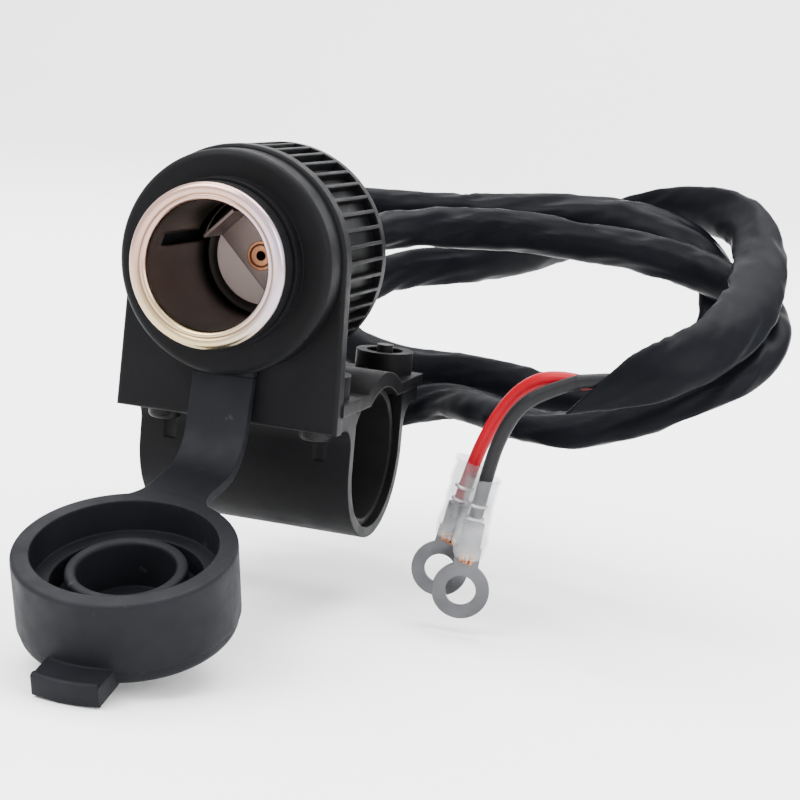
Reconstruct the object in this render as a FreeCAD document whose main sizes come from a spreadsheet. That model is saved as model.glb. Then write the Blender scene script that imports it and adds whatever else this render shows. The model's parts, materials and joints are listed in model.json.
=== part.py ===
"""Handlebar accessory power socket with a ribbed screw-on rear cap, a rubber dust cap and a sleeved lead.

Frame: the origin is the centre of the handlebar bore, +X runs along the bar, +Y away from the socket's
mouth and +Z up. Lengths along the socket are counted from the plane of the liner's lip.
"""
import FreeCAD, Part
import math
import os
import Sketcher
from FreeCAD import Placement, Rotation, Vector

DIMENSIONS = {
    # Handlebar clamp
    "bar_radius": 11.1,
    "pad_wall": 1.25,
    "pad_gap": 0.1,
    "pad_slit": 1.0,
    "pad_inset": 1.2,
    "clamp_wall": 1.8,
    "clamp_length": 38.6,
    "split_height": 10.1,
    "flange_thick": 2.8,
    "flange_reach": 21.6,
    "flange_fillet": 4.0,
    "plate_gap": 0.1,
    # Bracket
    "base_length": 40.0,
    "base_thick": 2.1,
    "arch_wall": 2.6,
    "plate_face": 24.0,
    "plate_thick": 2.8,
    "plate_half": 19.1,
    "plate_foot": 19.8,
    "plate_bottom": 7.3,
    "plate_round": 0.7,
    "boss_radius": 5.2,
    "boss_height": 4.1,
    "nut_floor": 0.3,
    "nut_pocket_radius": 3.35,
    # Clamp fasteners
    "screw_x": 13.75,
    "screw_y": 17.0,
    "screw_radius": 1.5,
    "screw_gap": 0.2,
    "screw_proud": 1.0,
    "head_radius": 2.8,
    "head_height": 2.4,
    "head_round": 0.9,
    "nut_circle": 3.15,
    "nut_height": 2.4,
    # Socket liner
    "socket_height": 34.0,
    "lip_reach": 36.6,
    "bore_radius": 10.7,
    "liner_wall": 0.5,
    "lip_radius": 13.2,
    "lip_thick": 0.9,
    "lip_bead": 0.35,
    "liner_depth": 26.0,
    "liner_floor": 0.6,
    "liner_corner": 1.5,
    "liner_step": 0.3,
    "step_start": 15.9,
    "floor_hole": 2.6,
    "window_width": 9.0,
    "window_start": 8.0,
    "window_length": 7.4,
    "window_turn": 130.0,
    # Socket barrel
    "barrel_gap": 0.15,
    "collar_radius": 13.4,
    "collar_length": 3.6,
    "groove_radius": 13.0,
    "groove_width": 0.5,
    "shoulder_radius": 13.9,
    "flange_start": 6.9,
    "flange_radius": 18.4,
    "flange_round": 1.3,
    "barrel_radius": 13.2,
    "barrel_over": 0.5,
    "plate_hole_gap": 0.2,
    # Contacts
    "insulator_radius": 8.4,
    "insulator_thick": 0.8,
    "rear_insulator_radius": 7.0,
    "clip_width": 7.0,
    "clip_span": 15.4,
    "clip_thick": 0.5,
    "clip_reach": 8.0,
    "clip_turn": -45.0,
    "rivet_radius": 1.5,
    "rivet_bore": 0.8,
    "rivet_head_radius": 2.5,
    "rivet_head": 0.6,
    "contact_gap": 0.1,
    "tab_width": 6.3,
    "tab_thick": 0.8,
    "tab_length": 5.8,
    "positive_offset": 6.6,
    "negative_offset": 7.8,
    "negative_foot": 2.8,
    "connector_wall": 0.9,
    "connector_length": 6.6,
    "connector_gap": 1.0,
    "crimp_radius": 1.7,
    "crimp_length": 1.8,
    # Rear cap
    "cap_gap": 0.25,
    "thread_gap": 0.3,
    "rib_radius": 19.0,
    "rib_depth": 1.6,
    "rib_width": 0.6,
    "rib_count": 44,
    "rib_end": 31.4,
    "rim_end": 33.2,
    "dome_radius": 16.8,
    "dome_end_radius": 12.2,
    "dome_end": 45.5,
    "cap_wall": 2.0,
    "grommet_radius": 5.6,
    "grommet_lip": 6.8,
    "grommet_lip_thick": 1.2,
    "grommet_gap": 0.1,
    # Dust cap, strap and ring
    "strap_width": 10.6,
    "strap_thick": 1.7,
    "strap_gap": 0.2,
    "strap_flare": 16.0,
    "strap_flare_length": 6.0,
    "ring_width": 3.0,
    "strap_bend": 6.0,
    "strap_lean": 1.6,
    "strap_knee": 3.6,
    "strap_low": 2.3,
    "cap_clear": 0.3,
    "dust_radius": 17.25,
    "dust_height": 14.0,
    "dust_bore": 14.35,
    "dust_ledge": 5.4,
    "dust_groove_radius": 11.8,
    "dust_groove_depth": 9.4,
    "dust_plug_radius": 9.4,
    "dust_plug_hole": 7.6,
    "dust_plug_drop": 3.6,
    "dust_plug_round": 0.6,
    "dust_hole_depth": 11.6,
    "dust_band": 2.6,
    "dust_band_step": 0.35,
    "dust_round": 1.6,
    "dust_rim_round": 0.6,
    "dust_y": 59.7,
    "dust_z": 6.9,
    "dust_tilt": 17.2,
    "tab_lip_width": 10.8,
    "tab_lip_reach": 4.6,
    "tab_lip_thick": 3.4,
    "tab_lip_round": 0.4,
    # Lead
    "sleeve_radius": 3.5,
    "sleeve_start": 44.0,
    "sleeve_clear": 0.3,
    "wire_radius": 1.2,
    "wire_spread": 1.5,
    "wire_gap": 0.4,
    "ring_terminal_radius": 4.9,
    "ring_hole_radius": 2.6,
    "ring_thick": 0.8,
    "ring_neck_width": 4.4,
    "ring_barrel_start": 7.0,
    "ring_barrel_length": 5.0,
    "boot_radius": 2.4,
    "boot_bore": 1.9,
    "boot_start": 5.8,
    "boot_length": 14.4,
}

# Centre line of the sleeved lead, from inside the rear cap to its cut end: two loose loops, then the tail.
SLEEVE_ROUTE = [
    (0, 7.4, 34), (0, 15, 34), (2.5, 24, 35), (9, 31.5, 37), (19, 36, 38.2), (32, 37, 38.8),
    (45, 37, 38.4), (58, 36.5, 37.2), (69.5, 34, 35.2), (78.5, 28, 32), (83, 18.5, 27.8), (81, 9, 23),
    (73.5, 3, 18), (62.5, 2, 12.2), (51, 5, 8.3), (41, 11.5, 7.5), (31.5, 20.5, 7.8), (21, 29.5, 6.5),
    (8, 32.2, 1.2), (-5, 33.9, -0.3), (-17, 34.9, 3.5), (-24.4, 37.4, 13.4), (-24.4, 40.6, 25.6),
    (-17, 43.1, 35.5), (-5, 44.6, 39.3), (8, 46, 39.4), (20, 46.6, 40.3), (31.5, 46.6, 41.7),
    (42.5, 46.9, 42.6), (53, 46.9, 42.2), (63.6, 45.2, 39.2), (70.2, 40.8, 31.4), (70.2, 35.2, 21.6),
    (63.6, 30.8, 13.8), (53, 29.1, 10.8), (43, 29.8, 10.4), (34, 32.5, 10.7), (23, 36.6, 10.9),
    (10.5, 40.6, 9.8), (-2, 44.2, 11.2), (-10, 53.4, 15.3), (-10, 64.8, 20.5), (-2.3, 74.2, 24.9),
    (10, 78, 26.6), (24, 74.5, 31), (36, 67.5, 36.8), (46.5, 60.5, 41.6), (56, 55.6, 44.8), (65, 50.5, 46),
    (72.3, 42.5, 44.8), (76.8, 32, 41.6), (79, 20.5, 37), (79, 9.8, 31.8), (75.5, 1, 26.6),
    (69.6, -4.6, 22.9), (62.8, -6.8, 20.4), (56.6, -7.2, 18.8),
]
# Free wires between the sleeve's cut end and their terminals.
RED_ROUTE = [(50.8, -5.8, 19.6), (45.2, -4.2, 16.6), (41.6, -3.4, 11.6), (39.2, -3.1, 6.4), (37.6, -3, 1.4)]
BLACK_ROUTE = [(51, -7.9, 17.4), (46, -8.1, 14), (43.2, -8, 8.2), (41.8, -8.1, 2.2)]
RED_RING = Vector(33.6, -3, -17)
RED_LEAN = 11.5
BLACK_RING = Vector(39, -8, -18.9)
BLACK_LEAN = 6.0
RING_FACE_TURN = 14.0
ARC_SHARE = 0.45

doc = FreeCAD.newDocument("power_socket")
sheet = doc.addObject("Spreadsheet::Sheet", "Dims")
for row, (alias, size) in enumerate(DIMENSIONS.items(), start=1):
    sheet.set("A%d" % row, alias)
    sheet.set("B%d" % row, str(size))
    sheet.setAlias("B%d" % row, alias)
doc.recompute()
pieces = []


def number(expression):
    """The present value of an expression on the sheet."""
    return float(sheet.evalExpression(expression))


def new_body(label, kept=True):
    body = doc.addObject("PartDesign::Body", label)
    body.Label = label
    body.AllowCompound = True
    if kept:
        pieces.append(body)
    return body


def new_sketch(body, role, name, offset=None):
    """A sketch on one of the body's own origin planes, moved along its normal by an expression."""
    sketch = body.newObject("Sketcher::SketchObject", name)
    plane = next(f for f in body.Origin.OriginFeatures if f.Role == role)
    sketch.AttachmentSupport = [(plane, "")]
    sketch.MapMode = "FlatFace"
    if offset:
        sketch.setExpression("AttachmentOffset.Base.z", offset)
    return sketch


def bind(sketch, constraint, expression):
    index = sketch.addConstraint(constraint)
    sketch.setExpression("Constraints[%d]" % index, expression)


def pin_point(sketch, geometry, end, x, y):
    """Ties one point of a sketch to two expressions, on whichever side of the origin it lies."""
    for kind, axis, expression in (("DistanceX", -2, x), ("DistanceY", -1, y)):
        size = number(expression)
        if abs(size) < 1e-9:
            sketch.addConstraint(Sketcher.Constraint("PointOnObject", geometry, end, axis))
        elif size < 0:
            bind(sketch, Sketcher.Constraint(kind, geometry, end, -1, 1, -size), "-(%s)" % expression)
        else:
            bind(sketch, Sketcher.Constraint(kind, -1, 1, geometry, end, size), expression)


def outline(sketch, points):
    """A closed outline of straight edges through points given as pairs of expressions."""
    corners = [Vector(number(x), number(y), 0) for x, y in points]
    first = sketch.GeometryCount
    count = len(corners)
    for i, corner in enumerate(corners):
        sketch.addGeometry(Part.LineSegment(corner, corners[(i + 1) % count]))
    for i, (x, y) in enumerate(points):
        edge = first + i
        after = first + (i + 1) % count
        sketch.addConstraint(Sketcher.Constraint("Coincident", edge, 2, after, 1))
        pin_point(sketch, edge, 1, x, y)


def rectangle(sketch, x0, x1, y0, y1):
    outline(sketch, [(x0, y0), (x1, y0), (x1, y1), (x0, y1)])


def circle(sketch, radius, x="0", y="0"):
    centre = Vector(number(x), number(y), 0)
    index = sketch.addGeometry(Part.Circle(centre, Vector(0, 0, 1), number(radius)))
    bind(sketch, Sketcher.Constraint("Radius", index, number(radius)), radius)
    pin_point(sketch, index, 3, x, y)


def at_screws(sketch, radius):
    """One circle on each of the four clamp screws."""
    for side_x in ("", "-"):
        for side_y in ("", "-"):
            circle(sketch, radius, side_x + "Dims.screw_x", side_y + "Dims.screw_y")


def pad(body, sketch, length, both=False, back=False):
    feature = body.newObject("PartDesign::Pad", sketch.Name + "_pad")
    feature.Profile = sketch
    feature.setExpression("Length", length)
    feature.Midplane = both
    feature.Reversed = back
    doc.recompute()
    return feature


def pocket(body, sketch, length, both=False, back=False):
    """Cuts a pocket and makes sure that it took material away."""
    before = body.Shape.Volume
    feature = body.newObject("PartDesign::Pocket", sketch.Name + "_pocket")
    feature.Profile = sketch
    feature.setExpression("Length", length)
    feature.Midplane = both
    feature.Reversed = back
    doc.recompute()
    if body.Shape.Volume > before - 1e-6:
        raise RuntimeError("pocket %s cuts nothing" % feature.Name)
    return feature


def revolve(body, points):
    """Turns an outline given as (radius, height) pairs about the body's own Z axis."""
    sketch = new_sketch(body, "XZ_Plane", body.Name + "_profile")
    outline(sketch, points)
    feature = body.newObject("PartDesign::Revolution", body.Name + "_turned")
    feature.Profile = sketch
    feature.ReferenceAxis = (sketch, ["V_Axis"])
    feature.Angle = 360
    doc.recompute()
    return feature


def round_edges(body, radius, wanted):
    """Rounds the edges of the body's tip for which wanted(edge) holds."""
    tip = body.Tip
    names = ["Edge%d" % (i + 1) for i, edge in enumerate(tip.Shape.Edges) if wanted(edge)]
    if not names:
        raise RuntimeError("no edge to round on " + body.Name)
    feature = body.newObject("PartDesign::Fillet", body.Name + "_round")
    feature.Base = (tip, names)
    feature.setExpression("Radius", radius)
    doc.recompute()
    return feature


def ring_edge(radius, height):
    """Picks the round edge of a turned body that has this radius and height."""
    size = number(radius)
    level = number(height)

    def wanted(edge):
        curve = edge.Curve
        if not isinstance(curve, Part.Circle):
            return False
        return abs(curve.Radius - size) < 1e-4 and abs(edge.BoundBox.Center.z - level) < 1e-4

    return wanted


def seat_on_socket(piece):
    """Lays a piece made along +Z on the socket's axis: its height then runs back from the lip."""
    piece.Placement = Placement(Vector(0, 0, 0), Rotation(Vector(1, 0, 0), -90))
    piece.setExpression("Placement.Base.y", "-Dims.lip_reach")
    piece.setExpression("Placement.Base.z", "Dims.socket_height")


def keep(piece, label):
    piece.Label = label
    pieces.append(piece)
    return piece


def block(name, x, y, z, dx, dy, dz):
    """A box from its low corner and its three lengths."""
    solid = doc.addObject("Part::Box", name)
    for prop, expression in zip(("Length", "Width", "Height"), (dx, dy, dz)):
        solid.setExpression(prop, expression)
    for axis, expression in zip("xyz", (x, y, z)):
        solid.setExpression("Placement.Base." + axis, expression)
    return solid


def rod(name, radius, z, length, x="0", y="0"):
    """A cylinder along +Z from height z."""
    solid = doc.addObject("Part::Cylinder", name)
    solid.setExpression("Radius", radius)
    solid.setExpression("Height", length)
    for axis, expression in zip("xyz", (x, y, z)):
        solid.setExpression("Placement.Base." + axis, expression)
    return solid


def cut(name, base, tool):
    result = doc.addObject("Part::Cut", name)
    result.Base = base
    result.Tool = tool
    return result


def fuse(name, solids):
    result = doc.addObject("Part::MultiFuse", name)
    result.Shapes = solids
    return result


# Derived levels, as expressions on the sheet
PAD_OUTER = "Dims.bar_radius + Dims.pad_wall"
SADDLE = "(Dims.bar_radius + Dims.pad_wall + Dims.pad_gap)"
CLAMP_OUTER = SADDLE + " + Dims.clamp_wall"
BASE_TOP = "Dims.split_height + Dims.base_thick"
BOSS_TOP = BASE_TOP + " + Dims.boss_height"
NUT_SEAT = BASE_TOP + " + Dims.nut_floor"
FLANGE_UNDER = "Dims.split_height - Dims.flange_thick"
PLATE_BACK = "Dims.plate_face - Dims.plate_thick"
PLATE_START = "(Dims.lip_reach - Dims.plate_face)"
LINER_OUTER = "Dims.bore_radius + Dims.liner_wall"
BARREL_BORE = LINER_OUTER + " + Dims.barrel_gap"
RING_ROOM = "Dims.strap_thick + 2 * Dims.strap_gap"
RING_RADIUS = "Dims.barrel_radius + Dims.ring_width"
FLOOR_FRONT = "Dims.liner_depth - Dims.liner_floor"
CLIP_BACK = FLOOR_FRONT + " - Dims.insulator_thick"
CLIP_FRONT = CLIP_BACK + " - Dims.clip_thick"
TAB_SEAT = "Dims.liner_depth + Dims.insulator_thick"
BARREL_END = "Dims.liner_depth + Dims.barrel_over"
CONNECTOR_START = TAB_SEAT + " + Dims.tab_thick + Dims.connector_gap"
CLAMP_REACH = "(%s - Dims.plate_gap)" % PLATE_BACK


def make_bracket():
    """Front plate with a half-round top, base plate arched over the bar and screw bosses."""
    body = new_body("bracket")
    arch = new_sketch(body, "YZ_Plane", "arch")
    circle(arch, SADDLE + " + Dims.arch_wall")
    pad(body, arch, "Dims.base_length", both=True)
    base = new_sketch(body, "YZ_Plane", "base_plate")
    rectangle(base, "-Dims.flange_reach", "Dims.flange_reach", "Dims.split_height", BASE_TOP)
    pad(body, base, "Dims.base_length", both=True)
    below = new_sketch(body, "YZ_Plane", "below_split")
    far = SADDLE + " + 2 * Dims.arch_wall"
    rectangle(below, "-(%s)" % far, far, "-(%s)" % far, "Dims.split_height")
    pocket(body, below, "2 * Dims.base_length", both=True)
    plate = new_sketch(body, "XZ_Plane", "front_plate", "Dims.plate_face")
    outline(plate, [
        ("-Dims.plate_foot", "Dims.plate_bottom"),
        ("Dims.plate_foot", "Dims.plate_bottom"),
        ("Dims.plate_half", "Dims.socket_height"),
        ("-Dims.plate_half", "Dims.socket_height"),
    ])
    pad(body, plate, "Dims.plate_thick", back=True)
    top = new_sketch(body, "XZ_Plane", "plate_top", "Dims.plate_face")
    circle(top, "Dims.plate_half", "0", "Dims.socket_height")
    pad(body, top, "Dims.plate_thick", back=True)
    face = -number("Dims.plate_face")
    edge_wanted = lambda edge: abs(edge.BoundBox.YMin - face) < 1e-4 and abs(edge.BoundBox.YMax - face) < 1e-4
    round_edges(body, "Dims.plate_round", edge_wanted)
    hole = new_sketch(body, "XZ_Plane", "barrel_hole", "Dims.plate_face")
    circle(hole, "Dims.barrel_radius + Dims.plate_hole_gap", "0", "Dims.socket_height")
    pocket(body, hole, "Dims.plate_thick")
    bosses = new_sketch(body, "XY_Plane", "bosses", BASE_TOP)
    at_screws(bosses, "Dims.boss_radius")
    pad(body, bosses, "Dims.boss_height")
    bore = new_sketch(body, "YZ_Plane", "saddle")
    circle(bore, SADDLE)
    pocket(body, bore, "2 * Dims.base_length", both=True)
    seats = new_sketch(body, "XY_Plane", "nut_seats", BOSS_TOP)
    at_screws(seats, "Dims.nut_pocket_radius")
    pocket(body, seats, "Dims.boss_height - Dims.nut_floor")
    holes = new_sketch(body, "XY_Plane", "screw_holes", BOSS_TOP)
    at_screws(holes, "Dims.screw_radius + Dims.screw_gap")
    pocket(body, holes, "Dims.base_thick + Dims.boss_height")


def make_lower_clamp():
    """Deep half-round strap under the bar with a flange to each side."""
    body = new_body("lower_clamp")
    round_wall = new_sketch(body, "YZ_Plane", "round_wall")
    circle(round_wall, CLAMP_OUTER)
    pad(body, round_wall, "Dims.clamp_length", both=True)
    walls = new_sketch(body, "YZ_Plane", "side_walls")
    rectangle(walls, "-(%s)" % CLAMP_OUTER, CLAMP_OUTER, "0", "Dims.split_height")
    pad(body, walls, "Dims.clamp_length", both=True)
    flanges = new_sketch(body, "YZ_Plane", "flanges")
    rectangle(flanges, "-" + CLAMP_REACH, CLAMP_REACH, FLANGE_UNDER, "Dims.split_height")
    pad(body, flanges, "Dims.clamp_length", both=True)
    above = new_sketch(body, "YZ_Plane", "above_split")
    reach = "Dims.flange_reach"
    rectangle(above, "-" + reach, reach, "Dims.split_height", "Dims.split_height + Dims.flange_reach")
    pocket(body, above, "2 * Dims.clamp_length", both=True)
    corner_y = number(CLAMP_OUTER)
    corner_z = number(FLANGE_UNDER)

    def under_flange(edge):
        box = edge.BoundBox
        flat = box.YLength < 1e-4 and box.ZLength < 1e-4
        return flat and abs(abs(box.Center.y) - corner_y) < 1e-4 and abs(box.Center.z - corner_z) < 1e-4

    round_edges(body, "Dims.flange_fillet", under_flange)
    bore = new_sketch(body, "YZ_Plane", "lower_saddle")
    circle(bore, SADDLE)
    pocket(body, bore, "2 * Dims.clamp_length", both=True)
    throat = new_sketch(body, "YZ_Plane", "throat")
    rectangle(throat, "-" + SADDLE, SADDLE, "0", "Dims.split_height")
    pocket(body, throat, "2 * Dims.clamp_length", both=True)
    holes = new_sketch(body, "XY_Plane", "clamp_holes", "Dims.split_height")
    at_screws(holes, "Dims.screw_radius + Dims.screw_gap")
    pocket(body, holes, "2 * Dims.flange_thick")
    seats = new_sketch(body, "XY_Plane", "head_seats", FLANGE_UNDER)
    at_screws(seats, "Dims.head_radius + Dims.screw_gap")
    pocket(body, seats, "Dims.head_height + Dims.flange_fillet")


def make_clamp_pad():
    """Slit rubber sleeve between the clamp and the bar."""
    body = new_body("clamp_pad")
    ring = new_sketch(body, "YZ_Plane", "pad_ring")
    circle(ring, PAD_OUTER)
    pad(body, ring, "Dims.clamp_length - 2 * Dims.pad_inset", both=True)
    bore = new_sketch(body, "YZ_Plane", "pad_bore")
    circle(bore, "Dims.bar_radius")
    pocket(body, bore, "2 * Dims.clamp_length", both=True)
    slit = new_sketch(body, "YZ_Plane", "pad_slit_cut")
    rectangle(slit, "-Dims.pad_slit / 2", "Dims.pad_slit / 2", "0", PAD_OUTER + " + Dims.pad_wall")
    pocket(body, slit, "2 * Dims.clamp_length", both=True)


def make_fasteners():
    """Four pan-head screws up through the flanges and four nuts sunk in the bosses."""
    body = new_body("clamp_screws")
    heads = new_sketch(body, "XY_Plane", "heads", FLANGE_UNDER)
    at_screws(heads, "Dims.head_radius")
    pad(body, heads, "Dims.head_height", back=True)
    low = number(FLANGE_UNDER + " - Dims.head_height")
    round_edges(body, "Dims.head_round", lambda edge: abs(edge.BoundBox.ZMax - low) < 1e-4)
    shanks = new_sketch(body, "XY_Plane", "shanks", FLANGE_UNDER)
    at_screws(shanks, "Dims.screw_radius")
    pad(body, shanks, "Dims.flange_thick + Dims.base_thick + Dims.boss_height + Dims.screw_proud")
    nuts = []
    for side_x in ("", "-"):
        for side_y in ("", "-"):
            x = side_x + "Dims.screw_x"
            y = side_y + "Dims.screw_y"
            prism = doc.addObject("Part::Prism", "hexagon")
            prism.Polygon = 6
            prism.setExpression("Circumradius", "Dims.nut_circle")
            prism.setExpression("Height", "Dims.nut_height")
            for axis, expression in zip("xyz", (x, y, NUT_SEAT)):
                prism.setExpression("Placement.Base." + axis, expression)
            hole = rod("nut_thread", "Dims.screw_radius", NUT_SEAT, "Dims.nut_height", x, y)
            nuts.append(cut("nut", prism, hole))
    group = doc.addObject("Part::Compound", "clamp_nuts")
    group.Links = nuts
    keep(group, "clamp_nuts")


def make_barrel():
    """Moulded socket body: collar, shoulder, flange disc with a seat for the strap ring, rear tube."""
    body = new_body("socket_barrel")
    back = "Dims.lip_reach - Dims.plate_face"
    seat = back + " - (%s)" % RING_ROOM
    groove_end = "Dims.collar_length + Dims.groove_width"
    revolve(body, [
        (BARREL_BORE, "Dims.lip_thick"),
        ("Dims.collar_radius", "Dims.lip_thick"),
        ("Dims.collar_radius", "Dims.collar_length"),
        ("Dims.groove_radius", "Dims.collar_length"),
        ("Dims.groove_radius", groove_end),
        ("Dims.shoulder_radius", groove_end),
        ("Dims.shoulder_radius", "Dims.flange_start"),
        ("Dims.flange_radius", "Dims.flange_start"),
        ("Dims.flange_radius", back),
        (RING_RADIUS + " + Dims.strap_gap", back),
        (RING_RADIUS + " + Dims.strap_gap", seat),
        ("Dims.barrel_radius", seat),
        ("Dims.barrel_radius", BARREL_END),
        (BARREL_BORE, BARREL_END),
    ])
    notch = new_sketch(body, "XY_Plane", "strap_notch", back)
    half = "(Dims.strap_width / 2 + Dims.strap_gap)"
    rectangle(notch, "-" + half, half, "Dims.barrel_radius + Dims.strap_thick", "Dims.flange_radius * 1.1")
    pocket(body, notch, RING_ROOM)
    round_edges(body, "Dims.flange_round", ring_edge("Dims.flange_radius", "Dims.flange_start"))
    seat_on_socket(body)


def make_liner():
    """Deep-drawn metal cup with a double-beaded lip, a slightly narrower well, a window and a floor hole."""
    body = new_body("socket_liner")
    well = "Dims.bore_radius - Dims.liner_step"
    bead = "Dims.lip_bead"
    mid = "(Dims.bore_radius + Dims.lip_radius) / 2"
    revolve(body, [
        ("Dims.bore_radius", "Dims.lip_thick + " + bead),
        ("Dims.bore_radius + " + bead, bead),
        (mid + " - 1.2 * Dims.lip_bead", "Dims.lip_bead / 3"),
        (mid + " - 0.3 * Dims.lip_bead", bead),
        (mid + " + 0.6 * Dims.lip_bead", "0"),
        ("Dims.lip_radius - " + bead, "0"),
        ("Dims.lip_radius", bead),
        ("Dims.lip_radius", "Dims.lip_thick"),
        (LINER_OUTER, "Dims.lip_thick"),
        (LINER_OUTER, "Dims.liner_depth"),
        ("Dims.floor_hole", "Dims.liner_depth"),
        ("Dims.floor_hole", FLOOR_FRONT),
        (well + " - Dims.liner_corner", FLOOR_FRONT),
        (well, FLOOR_FRONT + " - Dims.liner_corner"),
        (well, "Dims.step_start + Dims.liner_step"),
        ("Dims.bore_radius", "Dims.step_start"),
    ])
    window = new_sketch(body, "XY_Plane", "spring_window", "Dims.window_start")
    half = "Dims.window_width / 2"
    rectangle(window, "-" + half, half, "Dims.bore_radius / 2", LINER_OUTER + " + Dims.liner_wall")
    window.setExpression("AttachmentOffset.Rotation.Angle", "Dims.window_turn")
    window.AttachmentOffset.Rotation.Axis = Vector(0, 0, 1)
    pocket(body, window, "Dims.window_length", back=True)
    seat_on_socket(body)


def make_contacts():
    """Centre contact clip on its insulator, the hollow rivet and the two rear tabs with their connectors."""
    hole_radius = "Dims.rivet_radius + Dims.contact_gap"
    front = rod("front_disc", "Dims.insulator_radius", CLIP_BACK, "Dims.insulator_thick")
    front_hole = rod("front_disc_hole", hole_radius, CLIP_BACK, "Dims.insulator_thick")
    seat_on_socket(keep(cut("contact_insulator", front, front_hole), "contact_insulator"))
    rear = rod("rear_disc", "Dims.rear_insulator_radius", "Dims.liner_depth", "Dims.insulator_thick")
    rear_hole = rod("rear_disc_hole", hole_radius, "Dims.liner_depth", "Dims.insulator_thick")
    seat_on_socket(keep(cut("rear_insulator", rear, rear_hole), "rear_insulator"))

    half_width = "Dims.clip_width / 2"
    half_span = "Dims.clip_span / 2"
    arm_front = CLIP_BACK + " - Dims.clip_reach"
    strip = block("clip_strip", "-" + half_width, "-" + half_span, CLIP_FRONT,
                  "Dims.clip_width", "Dims.clip_span", "Dims.clip_thick")
    low_arm = block("clip_arm_low", "-" + half_width, "-" + half_span, arm_front,
                    "Dims.clip_width", "Dims.clip_thick", "Dims.clip_reach")
    high_arm = block("clip_arm_high", "-" + half_width, half_span + " - Dims.clip_thick", arm_front,
                     "Dims.clip_width", "Dims.clip_thick", "Dims.clip_reach")
    clip_hole = rod("clip_hole", hole_radius, CLIP_FRONT, "Dims.clip_thick")
    clip = keep(cut("contact_clip", fuse("clip_bent", [strip, low_arm, high_arm]), clip_hole), "contact_clip")
    seat_on_socket(clip)
    turned = Rotation(Vector(0, 0, 1), number("Dims.clip_turn"))
    clip.Placement.Rotation = clip.Placement.Rotation.multiply(turned)

    tail = TAB_SEAT + " + Dims.tab_thick"
    length = "%s - (%s) + 2 * Dims.rivet_head" % (tail, CLIP_FRONT)
    start = CLIP_FRONT + " - Dims.rivet_head"
    shank = rod("rivet_shank", "Dims.rivet_radius", start, length)
    head = rod("rivet_front", "Dims.rivet_head_radius", start, "Dims.rivet_head")
    foot = rod("rivet_back", "Dims.rivet_head_radius", tail, "Dims.rivet_head")
    drill = rod("rivet_drill", "Dims.rivet_bore", start, length)
    seat_on_socket(keep(cut("contact_rivet", fuse("rivet_set", [shank, head, foot]), drill), "contact_rivet"))

    half_tab = "Dims.tab_width / 2"
    offset = "Dims.positive_offset"
    base = block("positive_base", "-Dims.rivet_head_radius", "-" + half_tab, TAB_SEAT,
                 "Dims.rivet_head_radius + Dims.positive_offset", "Dims.tab_width", "Dims.tab_thick")
    blade = block("positive_blade", offset + " - Dims.tab_thick", "-" + half_tab, TAB_SEAT,
                  "Dims.tab_thick", "Dims.tab_width", "Dims.tab_length")
    tab_hole = rod("positive_hole", hole_radius, TAB_SEAT, "Dims.tab_thick")
    seat_on_socket(keep(cut("positive_tab", fuse("positive_bent", [base, blade]), tab_hole), "positive_tab"))
    foot_start = "-Dims.negative_offset - Dims.negative_foot + Dims.tab_thick"
    ground = block("negative_base", foot_start, "-" + half_tab, "Dims.liner_depth",
                   "Dims.negative_foot", "Dims.tab_width", "Dims.tab_thick")
    ground_blade = block("negative_blade", "-Dims.negative_offset", "-" + half_tab, "Dims.liner_depth",
                         "Dims.tab_thick", "Dims.tab_width", "Dims.tab_length + Dims.insulator_thick")
    seat_on_socket(keep(fuse("negative_tab", [ground, ground_blade]), "negative_tab"))

    centres = {"positive": offset + " - Dims.tab_thick / 2",
               "negative": "-Dims.negative_offset + Dims.tab_thick / 2"}
    for pole, centre in centres.items():
        slot_half = "(Dims.tab_thick / 2 + Dims.contact_gap)"
        shell_half = "(Dims.tab_thick / 2 + Dims.contact_gap + Dims.connector_wall)"
        shell = block(pole + "_shell", centre + " - " + shell_half,
                      "-Dims.tab_width / 2 - Dims.contact_gap - Dims.connector_wall", CONNECTOR_START,
                      "2 * " + shell_half, "Dims.tab_width + 2 * (Dims.contact_gap + Dims.connector_wall)",
                      "Dims.connector_length")
        crimp = rod(pole + "_crimp", "Dims.crimp_radius", CONNECTOR_START + " + Dims.connector_length",
                    "Dims.crimp_length", centre)
        slot_end = TAB_SEAT + " + Dims.tab_length + Dims.contact_gap"
        slot = block(pole + "_slot", centre + " - " + slot_half, "-Dims.tab_width / 2 - Dims.contact_gap",
                     CONNECTOR_START, "2 * " + slot_half, "Dims.tab_width + 2 * Dims.contact_gap",
                     "%s - (%s)" % (slot_end, CONNECTOR_START))
        name = pole + "_connector"
        seat_on_socket(keep(cut(name, fuse(pole + "_push_on", [shell, crimp]), slot), name))


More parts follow.
